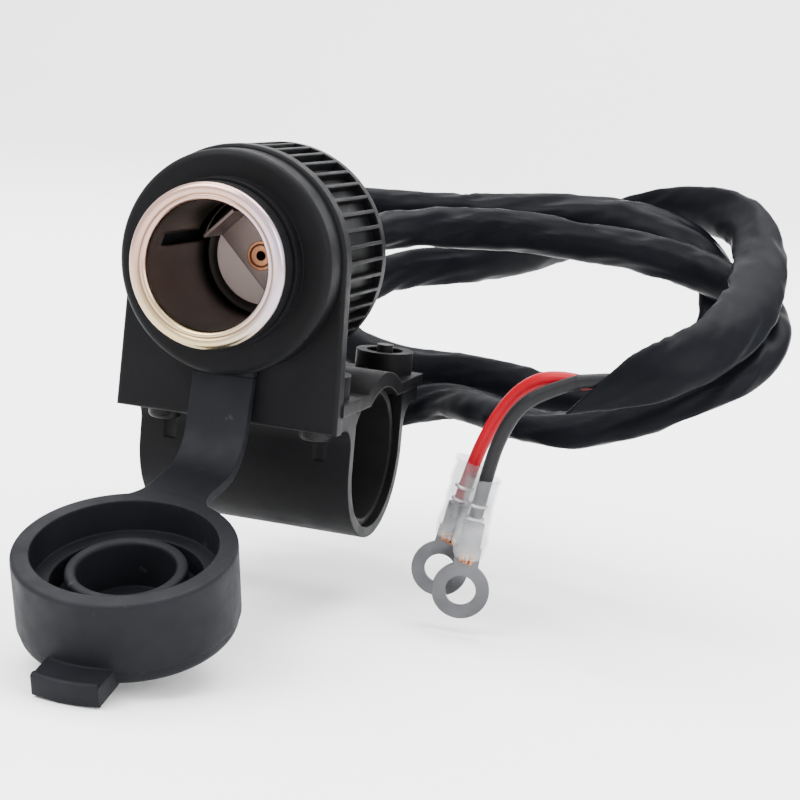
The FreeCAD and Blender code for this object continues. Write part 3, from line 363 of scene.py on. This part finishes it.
def make_materials():
    """All materials by name, most from a dark and a light colour and a range of roughness."""
    rubber = {"Specular_IOR_Level": 0.1}
    plastic = {"Specular_IOR_Level": 0.07}
    vinyl = {"Specular_IOR_Level": 0.1}
    return {
        "moulded_black": grained("moulded_black", (0.0024, 0.0024, 0.0027), (0.0036, 0.0036, 0.0042),
                                 (0.42, 0.56), **plastic),
        "rubber_pad": grained("rubber_pad", (0.003, 0.003, 0.0032), (0.005, 0.005, 0.0053),
                              (0.5, 0.7), **rubber),
        "cap_rubber": scuffed_rubber(),
        "black_steel": grained("black_steel", (0.006, 0.006, 0.006), (0.015, 0.015, 0.015),
                               (0.3, 0.5), Metallic=0.4, **plastic),
        "plated_liner": plated_liner(),
        "pale_board": grained("pale_board", (0.5, 0.4, 0.37), (0.6, 0.49, 0.46), (0.5, 0.7)),
        "contact_strip": plated("contact_strip", (0.12, 0.092, 0.084), (0.18, 0.142, 0.13), (0.3, 0.45)),
        "copper_rivet": copper_rivet(),
        "brass_tab": plated("brass_tab", (0.6, 0.45, 0.18), (0.75, 0.6, 0.3), (0.3, 0.45)),
        "vinyl_sleeve": grained("vinyl_sleeve", (0.0021, 0.0023, 0.0032), (0.0036, 0.004, 0.0054),
                                (0.3, 0.46), grain=700, bump=0.3, edge=0.2 * MM, Specular_IOR_Level=0.04),
        "red_wire": grained("red_wire", (0.23, 0.0006, 0.006), (0.31, 0.0012, 0.01),
                            (0.25, 0.4), **vinyl),
        "black_wire": grained("black_wire", (0.007, 0.007, 0.0075), (0.011, 0.011, 0.012),
                              (0.28, 0.4), **vinyl),
        "tinned_terminal": plated("tinned_terminal", (0.06, 0.06, 0.063), (0.09, 0.09, 0.095), (0.3, 0.46)),
        "tinned_bright": plated("tinned_bright", (0.5, 0.5, 0.51), (0.65, 0.65, 0.66), (0.25, 0.4)),
        "clear_vinyl": clear_vinyl(),
    }


def dress_nodes(materials):
    """Each CAD piece gets its slot's material."""
    for part in frame["record"]["subparts"]:
        node = nodes[part["node"]]
        node.data.materials.clear()
        node.data.materials.append(materials[part["material_slot"]])


LINE_ORDER = 3
LINE_STEPS = 12


def nurbs_line(name, points):
    """A NURBS curve that follows a route's points, given in millimetres."""
    curve = bpy.data.curves.new(name, "CURVE")
    curve.dimensions = "3D"
    spline = curve.splines.new("NURBS")
    spline.points.add(len(points) - 1)
    for control, point in zip(spline.points, points):
        control.co = (*(Vector(point) * MM), 1)
    spline.order_u = LINE_ORDER
    spline.use_endpoint_u = True
    spline.resolution_u = LINE_STEPS
    line = bpy.data.objects.new(name, curve)
    bpy.context.scene.collection.objects.link(line)
    return line


def read_line(line):
    """Points along a curve as it is drawn, and how far along it each one lies."""
    mesh = bpy.data.meshes.new_from_object(line)
    raw = [v.co.copy() for v in mesh.vertices]
    bpy.data.meshes.remove(mesh)
    reach = [0.0]
    for a, b in zip(raw, raw[1:]):
        reach.append(reach[-1] + (b - a).length)
    return raw, reach


def even_points(raw, reach, step):
    """Points at equal steps along a line, from its points and how far along each one lies."""
    count = max(2, round(reach[-1] / step))
    points = []
    i = 0
    for k in range(count + 1):
        target = reach[-1] * k / count
        while i < len(reach) - 2 and reach[i + 1] < target:
            i += 1
        share = (target - reach[i]) / max(1e-12, reach[i + 1] - reach[i])
        points.append(raw[i].lerp(raw[i + 1], min(1.0, share)))
    return points


def link_mesh(name, mesh, material):
    """Puts a mesh into the scene as a smooth shaded piece."""
    for face in mesh.faces:
        face.smooth = True
    data = bpy.data.meshes.new(name)
    mesh.to_mesh(data)
    mesh.free()
    data.materials.append(material)
    piece = bpy.data.objects.new(name, data)
    bpy.context.scene.collection.objects.link(piece)
    return piece


def skin_rings(mesh, rings):
    """Faces between each closed ring of points and the next."""
    for a, b in zip(rings, rings[1:]):
        count = len(a)
        for k in range(count):
            mesh.faces.new((a[k], a[(k + 1) % count], b[(k + 1) % count], b[k]))


def thicken(piece, thickness):
    """Gives a skin a wall."""
    wall = piece.modifiers.new("wall", "SOLIDIFY")
    wall.thickness = thickness
    wall.offset = -1


SLEEVE_STEP = 0.7 * MM
SLEEVE_SIDES = 32
SLEEVE_WALL = 0.45 * MM
ROUND_START = 14 * MM
# Flattened stretches: share of the length, width and thickness against the round tube, turn of the wide side
SLACK = [(0.0, 1.0, 1.0, 0.0), (0.1, 1.12, 0.84, 0.3), (0.25, 1.2, 0.72, 0.9), (0.4, 1.06, 0.9, 0.4),
         (0.55, 1.2, 0.74, -0.4), (0.7, 1.1, 0.86, 0.2), (0.82, 1.25, 0.66, 0.5), (0.9, 1.34, 0.56, 0.2),
         (0.95, 1.5, 0.48, 0.0), (0.975, 1.42, 0.54, 0.0), (1.0, 1.3, 0.62, 0.0)]
# Slanting cut of the sleeve's end, and the stretch over which the slant fades out
CUT_BACK = 9.0 * MM
CUT_AHEAD = 4.0 * MM
CUT_FADE = 24 * MM
# How close together folds, lumps and creases follow, and their height against the tube's radius
FOLD_RATE = 130
FOLD_START = 0.12
FOLD_DEPTH = 0.3
LUMP_RATE = 55
LUMP_HEIGHT = 0.11
CREASE_RATE = 420
CREASE_HEIGHT = 0.03


def slack_at(share):
    """Width, thickness and turn of the slack sleeve, eased between the listed stretches."""
    for first, second in zip(SLACK, SLACK[1:]):
        if share <= second[0]:
            t = (share - first[0]) / (second[0] - first[0])
            t = t * t * (3 - 2 * t)
            return [a + (b - a) * t for a, b in zip(first[1:], second[1:])]
    return SLACK[-1][1:]


def slack_swell(along, c, s):
    """How far folds, lumps and creases push the vinyl out at a place along and round the tube."""
    fold = noise.noise(Vector((along * FOLD_RATE + 1.4 * c, c * 0.9, s * 0.9 + 5)))
    fold = max(0.0, abs(fold) - FOLD_START)
    lump = noise.noise(Vector((along * LUMP_RATE, c * 0.8 + 9, s * 0.8)))
    crease = noise.noise(Vector((along * CREASE_RATE + 2 * s, c * 1.5, s * 1.5)))
    return LUMP_HEIGHT * lump - FOLD_DEPTH * fold + CREASE_HEIGHT * crease


def make_sleeve(material):
    """Slack vinyl sleeve: a tube flattened in stretches and creased, open and cut slanting at its end."""
    line = nurbs_line("sleeve_line", SLEEVE_ROUTE)
    raw, reach = read_line(line)
    points = even_points(raw, reach, SLEEVE_STEP)
    bpy.data.objects.remove(line)
    radius = SLEEVE_DIAMETER / 2 * MM
    mesh = bmesh.new()
    rings = []
    for i, point in enumerate(points):
        ahead = (points[min(i + 1, len(points) - 1)] - points[max(i - 1, 0)]).normalized()
        level = ahead.cross(CAMERA_PLACE - point).normalized()
        depth = ahead.cross(level)
        along = i * SLEEVE_STEP
        share = i / (len(points) - 1)
        wide, thin, turn = slack_at(share)
        ease = min(1.0, along / ROUND_START)
        to_end = (len(points) - 1 - i) * SLEEVE_STEP
        ring = []
        for k in range(SLEEVE_SIDES):
            angle = 2 * math.pi * k / SLEEVE_SIDES
            c, s = math.cos(angle), math.sin(angle)
            swell = 1 + ease * slack_swell(along, c, s)
            u = c * wide * radius * swell
            v = s * thin * radius * swell
            u, v = u * math.cos(turn) - v * math.sin(turn), u * math.sin(turn) + v * math.cos(turn)
            place = point + level * u + depth * v
            slant = (CUT_AHEAD - CUT_BACK) / 2 - (CUT_AHEAD + CUT_BACK) / 2 * u / (wide * radius)
            place += ahead * slant * max(0.0, 1 - to_end / CUT_FADE) ** 2
            ring.append(mesh.verts.new(place))
        rings.append(ring)
    skin_rings(mesh, rings)
    tube = link_mesh("sleeve_tube", mesh, material)
    thicken(tube, SLEEVE_WALL)
    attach(tube, "socket")
    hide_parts("cable_sleeve")
    return tube, points, reach[-1]


def terminal_axis(colour):
    """Direction from a ring terminal's hole up its crimp barrel."""
    lean = math.radians(TERMINALS[colour]["lean"])
    return Vector((math.sin(lean), 0, math.cos(lean)))


def lead_points(colour, shift):
    """A free wire's route from the sleeve's cut end to its crimp barrel."""
    heading = (Vector(SLEEVE_ROUTE[-1]) - Vector(SLEEVE_ROUTE[-2])).normalized()
    raised, near = LEAD_STARTS[colour]
    start = Vector(SLEEVE_ROUTE[-1]) + shift * raised + heading * WIRE_GAP + Vector((0, near, 0))
    stop = TERMINALS[colour]["ring"] + terminal_axis(colour) * (BARREL_TOP + WIRE_GAP)
    return [start, *LEAD_ROUTES[colour], stop]


WIRE_ROUNDNESS = 6


def make_wire(name, points, material):
    """A round wire along a route, closed at its ends."""
    wire = nurbs_line(name, points)
    wire.data.bevel_depth = WIRE_DIAMETER / 2 * MM
    wire.data.bevel_resolution = WIRE_ROUNDNESS
    wire.data.use_fill_caps = True
    wire.data.materials.append(material)
    return wire


# A wire inside the sleeve: steps of the route's last leg back from the mouth, and share of the wire's offset
STUB_PLACES = [(0.95, 0.2), (0.45, 0.7)]
STUB_LAP = 0.1


def make_stub(colour, start, material):
    """The wire's last stretch inside the sleeve, seen through its slanting mouth."""
    mouth = Vector(SLEEVE_ROUTE[-1])
    leg = mouth - Vector(SLEEVE_ROUTE[-2])
    off = start - mouth
    inner = [mouth - leg * back + off * share for back, share in STUB_PLACES]
    stub = make_wire(colour + "_stub", [*inner, start + leg * STUB_LAP], material)
    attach(stub, "socket")


def make_lead(colour, shift, material):
    """A free wire with its stub. Gives the wire, the place where it leaves the sleeve and its length."""
    points = lead_points(colour, shift)
    line = make_wire(colour + "_wire", points, material)
    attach(line, "socket")
    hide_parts(colour + "_lead")
    probe = nurbs_line("probe", points)
    length = read_line(probe)[1][-1]
    bpy.data.objects.remove(probe)
    make_stub(colour, points[0], material)
    return line, points[0] * MM, length


# Boot over a crimp barrel: distance up from the ring's hole and radius, from the neck to the flared wire end
BOOT_OUTLINE = [(5.9, 2.35), (6.6, 2.75), (8.5, 2.95), (10.5, 2.7), (12.5, 2.8), (14.5, 2.6), (17.0, 2.75),
                (18.8, 2.95), (20.0, 3.2)]
BOOT_WALL = 0.35 * MM
BOOT_WOBBLE = 0.16
# Crimp bands: distance up from the ring's hole, and a band's section as rise and radius
CRIMP_LEVELS = (12.6, 14.9)
CRIMP_BAND = [(0.0, 1.25), (0.1, 1.7), (0.4, 1.7), (0.5, 1.25)]
CRIMP_WOBBLE = 0.1


def lathe(name, outline, base, axis, material, sides=40, wobble=0.0, seed=0.0):
    """A form turned about an axis from (distance, radius) pairs in millimetres, slightly uneven.

    The directions across are taken from Y, so an axis along Y itself leaves the form without width.
    """
    across = axis.cross(Vector((0, 1, 0))).normalized()
    over = axis.cross(across)
    mesh = bmesh.new()
    rings = []
    for level, radius in outline:
        ring = []
        for k in range(sides):
            angle = 2 * math.pi * k / sides
            c, s = math.cos(angle), math.sin(angle)
            uneven = 1 + wobble * noise.noise(Vector((level * 0.35 + seed, c * 1.2, s * 1.2)))
            spot = base + axis * level + (across * c + over * s) * radius * uneven
            ring.append(mesh.verts.new(spot * MM))
        rings.append(ring)
    skin_rings(mesh, rings)
    return link_mesh(name, mesh, material)


def smooth_outline(outline, parts=6):
    """Points along an outline with eased steps between its pairs."""
    dense = []
    for (level_a, radius_a), (level_b, radius_b) in zip(outline, outline[1:]):
        for step in range(parts):
            t = step / parts
            ease = t * t * (3 - 2 * t)
            dense.append((level_a + (level_b - level_a) * t, radius_a + (radius_b - radius_a) * ease))
    return dense + [outline[-1]]


# Bare strands that show past the crimp barrel: offset across the neck and out from its face
STRANDS = [(-1.08, 0.75), (-0.36, 0.78), (0.36, 0.74), (1.08, 0.77), (-0.72, 1.36), (0.02, 1.4), (0.72, 1.34)]
STRAND_RADIUS = 0.33
STRAND_SIDES = 12
STRAND_TOP = 8.0
STRAND_TIP = 5.15
STRAND_STAGGER = 0.3
# A strand's rounded end: rise over its tip and radius
STRAND_END = [(0.0, 0.02), (0.05, 0.8 * STRAND_RADIUS), (0.2, STRAND_RADIUS)]


def make_strands(colour, base, axis, material):
    """Copper strands that lie on the front of a ring terminal's neck."""
    faces = nodes[colour + "_ring_terminal"].data.polygons
    out = max(faces, key=lambda face: face.area).normal.copy()
    out *= -1 if out.y > 0 else 1
    across = axis.cross(out)
    strands = []
    for number, (aside, proud) in enumerate(STRANDS):
        tip = STRAND_TIP + STRAND_STAGGER * math.sin(5 * number)
        outline = [(tip + rise, radius) for rise, radius in STRAND_END]
        outline.append((STRAND_TOP, STRAND_RADIUS))
        place = base + across * aside + out * proud
        strand = lathe("%s_strand_%d" % (colour, number), outline, place, axis, material, sides=STRAND_SIDES)
        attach(strand, "socket")
        strands.append(strand)
    return strands


def make_terminal(colour, materials):
    """Milky boot, crimp bands round the wire inside it, and the strands' ends at the neck."""
    base = TERMINALS[colour]["ring"]
    axis = terminal_axis(colour)
    boot = lathe(colour + "_boot", smooth_outline(BOOT_OUTLINE), base, axis, materials["clear_vinyl"],
                 wobble=BOOT_WOBBLE, seed=len(colour))
    thicken(boot, BOOT_WALL)
    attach(boot, "socket")
    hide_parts(colour + "_terminal_sleeve")
    pieces = [boot]
    for number, level in enumerate(CRIMP_LEVELS):
        band = [(level + rise, radius) for rise, radius in CRIMP_BAND]
        crimp = lathe("%s_crimp_%d" % (colour, number), band, base, axis, materials["tinned_bright"],
                      wobble=CRIMP_WOBBLE)
        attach(crimp, "socket")
        pieces.append(crimp)
    return pieces + make_strands(colour, base, axis, materials["copper_rivet"])


# Section of the cup in millimetres: radius, and depth from the lip's front
WELL_RADIUS = 10.7
LIP_SHAPE = [
    (12.85, 0.9), (13.02, 0.62), (12.97, 0.3), (12.75, 0.08), (12.4, 0.0), (12.0, 0.02), (11.7, 0.14),
    (11.5, 0.34), (11.42, 0.36), (11.32, 0.24), (11.18, 0.1), (11.02, 0.1), (10.86, 0.28), (10.75, 0.6),
    (WELL_RADIUS, 1.1),
]
WELL_LEVELS = (2, 3.5, 5.25, 8, 11, 14, 17, 19, 21, 23, 24.5)
FLOOR_SHAPE = [(10.55, 25.05), (10.2, 25.35), (9.0, 25.4), (3.2, 25.4)]
LINER_WALL = 0.35 * MM
LINER_COLUMNS = 120
# Slit round the spring tongue: degrees round the cup and depths, along the tongue's side and across its end
SLOT_SIDE = (159, 171)
SLOT_SIDE_DEPTHS = (5.25, 23)
SLOT_END = (111, 171)
SLOT_END_DEPTHS = (19, 23)


def in_slot(angle, level):
    """The slit round the spring tongue: along its lower side and across its end."""
    beside = SLOT_SIDE[0] <= angle < SLOT_SIDE[1] and SLOT_SIDE_DEPTHS[0] <= level < SLOT_SIDE_DEPTHS[1]
    across = SLOT_END[0] <= angle < SLOT_END[1] and SLOT_END_DEPTHS[0] <= level < SLOT_END_DEPTHS[1]
    return beside or across


def make_liner(material):
    """Drawn cup with two beads round its lip, and a spring tongue cut in its wall."""
    outline = LIP_SHAPE + [(WELL_RADIUS, level) for level in WELL_LEVELS] + FLOOR_SHAPE
    mesh = bmesh.new()
    rings = []
    for radius, level in outline:
        ring = []
        for k in range(LINER_COLUMNS):
            angle = math.radians(360 * k / LINER_COLUMNS)
            spot = Vector((radius * math.cos(angle), level, SOCKET_HEIGHT + radius * math.sin(angle)))
            ring.append(mesh.verts.new(spot * MM + Vector((0, LIP_PLANE, 0))))
        rings.append(ring)
    step = 360 / LINER_COLUMNS
    for row, (a, b) in enumerate(zip(rings, rings[1:])):
        level = outline[row][1]
        for k in range(LINER_COLUMNS):
            after = (k + 1) % LINER_COLUMNS
            if outline[row][0] == outline[row + 1][0] and in_slot(k * step, level):
                continue
            mesh.faces.new((a[k], b[k], b[after], a[after]))
    liner = link_mesh("liner_cup", mesh, material)
    thicken(liner, LINER_WALL)
    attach(liner, "socket")
    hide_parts("socket_liner")


# Distance out from the rivet's front, and radius
RIVET_BEAD = [(0.0, 2.3), (0.55, 2.1), (0.9, 1.75), (0.75, 1.35), (0.2, 1.0), (-0.5, 0.9)]
RIVET_BEAD_PARTS = 3


def make_rivet_bead(material):
    """The rivet bead's outline, drawn together onto the socket's axis because that axis runs along Y."""
    front = Vector((0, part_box("contact_rivet")[0][1] / MM, SOCKET_HEIGHT))
    outline = smooth_outline(RIVET_BEAD, RIVET_BEAD_PARTS)
    rim = lathe("rivet_bead", outline, front, Vector((0, -1, 0)), material)
    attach(rim, "socket")


# The strap's upper face in millimetres, as (y, z) places along the middle of the strap
STRAP_TOP = (-25.9, 15.4)
STRAP_KNEE = (-28.2, 1.0)
STRAP_END = (-45.45, -2.3)
STRAP_KNEE_ROUND = 8.5
STRAP_HALF = 5.3
STRAP_THICK = 1.7
STRAP_SHARP = math.radians(40)
FLARE_HALF = 6.9
FLARE_START = -38.0
FLARE_POWER = 5
RIM_CENTRE = (-59.7, -6.9)
RIM_RADIUS = 16.9
RIM_TILT = math.radians(17.2)
RIM_SINK = 0.1
# Rows of points down the strap's straight part, round its knee, on to the flare and along the flare
DOWN_ROWS = 8
KNEE_ROWS = 12
OUT_ROWS = 6
FLARE_ROWS = 12
HALF_COLUMNS = 7


def strap_line():
    """The strap's upper face from its ring to where it widens, as (y, z) places with their normals."""
    top, knee, end = Vector(STRAP_TOP), Vector(STRAP_KNEE), Vector(STRAP_END)
    down = (knee - top).normalized()
    out = (end - knee).normalized()
    half_turn = down.angle(out) / 2
    reach = STRAP_KNEE_ROUND * math.tan(half_turn)
    centre = knee + (out - down).normalized() * (STRAP_KNEE_ROUND / math.cos(half_turn))
    first = knee - down * reach
    last = knee + out * reach
    line = [(top.lerp(first, t / DOWN_ROWS), first - centre) for t in range(DOWN_ROWS)]
    start = math.atan2(first.y - centre.y, first.x - centre.x)
    turn = (last - centre).angle_signed(first - centre)
    for t in range(KNEE_ROWS + 1):
        angle = start + turn * t / KNEE_ROWS
        spoke = Vector((math.cos(angle), math.sin(angle)))
        line.append((centre + spoke * STRAP_KNEE_ROUND, spoke))
    flare = knee + out * ((FLARE_START - knee.x) / out.x)
    line += [(last.lerp(flare, t / OUT_ROWS), last - centre) for t in range(1, OUT_ROWS + 1)]
    return [(place, -spoke.normalized()) for place, spoke in line]


def strap_rows():
    """Rows of points across the strap's upper face, each with the face's normal."""
    columns = [k / HALF_COLUMNS for k in range(-HALF_COLUMNS, HALF_COLUMNS + 1)]
    line = strap_line()
    rows = []
    for place, normal in line:
        upper = [Vector((c * STRAP_HALF, place.x, place.y)) for c in columns]
        rows.append((upper, Vector((0, normal.x, normal.y))))
    flare, normal = line[-1]
    for part in range(1, FLARE_ROWS + 1):
        u = part / FLARE_ROWS
        upper = []
        for c in columns:
            x = c * (STRAP_HALF + (FLARE_HALF - STRAP_HALF) * u ** FLARE_POWER)
            reach = math.sqrt(RIM_RADIUS ** 2 - x ** 2)
            rim_y = RIM_CENTRE[0] + reach * math.cos(RIM_TILT)
            rim_z = RIM_CENTRE[1] + reach * math.sin(RIM_TILT) - RIM_SINK
            spot = flare.lerp(Vector((rim_y, rim_z)), u)
            upper.append(Vector((x, spot.x, spot.y)))
        rows.append((upper, Vector((0, normal.x, normal.y))))
    return rows


def make_strap(material):
    """Rubber strap that bends at the knee and spreads into the cap's rim."""
    mesh = bmesh.new()
    rows = strap_rows()
    grids = []
    for sunk in (0.0, STRAP_THICK):
        grid = []
        for upper, across in rows:
            grid.append([mesh.verts.new((spot - across * sunk) * MM) for spot in upper])
        grids.append(grid)
    top, foot = grids
    last = 2 * HALF_COLUMNS
    for i in range(len(rows) - 1):
        for k in range(last):
            mesh.faces.new((top[i][k], top[i][k + 1], top[i + 1][k + 1], top[i + 1][k]))
            mesh.faces.new((foot[i][k], foot[i + 1][k], foot[i + 1][k + 1], foot[i][k + 1]))
        for k in (0, last):
            mesh.faces.new((top[i][k], top[i + 1][k], foot[i + 1][k], foot[i][k]))
    for i in (0, len(rows) - 1):
        for k in range(last):
            mesh.faces.new((top[i][k], top[i][k + 1], foot[i][k + 1], foot[i][k]))
    bmesh.ops.recalc_face_normals(mesh, faces=mesh.faces)
    strap = link_mesh("strap_band", mesh, material)
    strap.data.set_sharp_from_angle(angle=STRAP_SHARP)
    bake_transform(strap)
    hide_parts("cap_strap")


CAP_HEIGHT = 14.0
TAB_HALF = 5.4
TAB_TIP = 21.85
TAB_HALF_STEPS = 12
TAB_SHARP = math.radians(50)
# Section of the tab's lip: how far out from its arc, and height over the cap's foot
TAB_LIP = [(-1.5, 3.2), (-1.2, 3.7), (-0.7, 3.95), (-0.2, 3.8), (0, 3.4), (0, 0.5), (-0.12, 0.15),
           (-0.5, 0.02), (-1.5, 0.02)]


def make_tab_lip(material):
    """Rounded lip along the front of the cap's pull tab, curved as the cap is."""
    radius = math.hypot(TAB_TIP, TAB_HALF)
    reach = math.asin(TAB_HALF / radius)
    outward = Vector((0, math.cos(RIM_TILT), math.sin(RIM_TILT)))
    up = Vector((0, -math.sin(RIM_TILT), math.cos(RIM_TILT)))
    foot = Vector((0, *RIM_CENTRE)) - up * CAP_HEIGHT
    mesh = bmesh.new()
    rings = []
    for step in range(2 * TAB_HALF_STEPS + 1):
        angle = reach * (step / TAB_HALF_STEPS - 1)
        spoke = Vector((math.sin(angle), 0, 0)) - outward * math.cos(angle)
        ring = []
        for out, height in TAB_LIP:
            ring.append(mesh.verts.new((foot + spoke * (radius + out) + up * height) * MM))
        rings.append(ring)
    skin_rings(mesh, rings)
    for ring in (rings[0], rings[-1]):
        mesh.faces.new(ring)
    bmesh.ops.recalc_face_normals(mesh, faces=mesh.faces)
    lip = link_mesh("tab_lip", mesh, material)
    lip.data.set_sharp_from_angle(angle=TAB_SHARP)
    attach(lip, "dust_cap")


def make_cords(materials):
    """The sleeved lead with its two free wires, and what is on their ends."""
    tube, points, length = make_sleeve(materials["vinyl_sleeve"])
    heading = (Vector(SLEEVE_ROUTE[-1]) - Vector(SLEEVE_ROUTE[-2])).normalized()
    across = heading.cross(Vector((0, 1, 0))).normalized() * WIRE_SPREAD
    leads = {"red": make_lead("red", -across, materials["red_wire"]),
             "black": make_lead("black", across, materials["black_wire"])}
    boots = {colour: make_terminal(colour, materials) for colour in leads}


# Floor and backdrop in metres
FLOOR_Z = cad_box[0][2] - 0.3 * MM
FLOOR_HALF = 2.5
SWEEP_BACK = 1.1
SWEEP_ROUND = 0.5
SWEEP_STEPS = 16
BACKDROP_TOP = 2.0


def make_floor():
    """Pale floor that sweeps up into a plain backdrop."""
    profile = [(-FLOOR_HALF, 0), (SWEEP_BACK, 0)]
    for part in range(1, SWEEP_STEPS + 1):
        angle = math.pi / 2 * part / SWEEP_STEPS
        profile.append((SWEEP_BACK + SWEEP_ROUND * math.sin(angle), SWEEP_ROUND * (1 - math.cos(angle))))
    profile.append((SWEEP_BACK + SWEEP_ROUND, BACKDROP_TOP))
    mesh = bmesh.new()
    rows = [[mesh.verts.new((x, y, FLOOR_Z + z)) for x in (-FLOOR_HALF, FLOOR_HALF)] for y, z in profile]
    for a, b in zip(rows, rows[1:]):
        mesh.faces.new((a[0], a[1], b[1], b[0]))
    shader = Shader("pale_floor")
    shader.colour(shader.mix(shader.span(shader.noise(8), 0, 1), (0.94, 0.94, 0.94), (0.96, 0.96, 0.96)))
    shader.set(Roughness=0.7, Specular_IOR_Level=0.2)
    link_mesh("floor", mesh, shader.material)


# Soft lights: name, place, aim, size and power
LIGHTS = [
    ("key", (-0.35, -0.55, 0.75), (0, 0, 0.02), (0.6, 0.6), 14),
    ("fill", (0.7, -0.35, 0.35), (0.02, 0, 0.02), (0.5, 0.5), 5),
    ("top", (0.05, 0.15, 0.8), (0.02, 0, 0.02), (0.9, 0.5), 12),
    ("back", (0.0, 0.4, 0.9), (0.0, 1.5, 0.1), (1.2, 0.6), 20),
]
SKY_COLOUR = (0.97, 0.98, 1, 1)
SKY_STRENGTH = 2.3


def add_light(name, place, target, size, power):
    """A rectangular light that faces a target."""
    data = bpy.data.lights.new(name, "AREA")
    data.shape = "RECTANGLE"
    data.size, data.size_y = size
    data.energy = power
    light = bpy.data.objects.new(name, data)
    bpy.context.scene.collection.objects.link(light)
    light.location = place
    light.rotation_euler = (Vector(target) - Vector(place)).to_track_quat("-Z", "Y").to_euler()


def light_studio():
    """White surroundings and the soft lights."""
    world = bpy.data.worlds.new("studio")
    world.use_nodes = True
    background = world.node_tree.nodes["Background"]
    background.inputs["Color"].default_value = SKY_COLOUR
    background.inputs["Strength"].default_value = SKY_STRENGTH
    bpy.context.scene.world = world
    for light in LIGHTS:
        add_light(*light)


materials = make_materials()
place_camera()
dress_nodes(materials)
make_liner(materials["plated_liner"])
make_rivet_bead(materials["copper_rivet"])
make_strap(materials["cap_rubber"])
make_tab_lip(materials["cap_rubber"])
make_cords(materials)
make_floor()
light_studio()
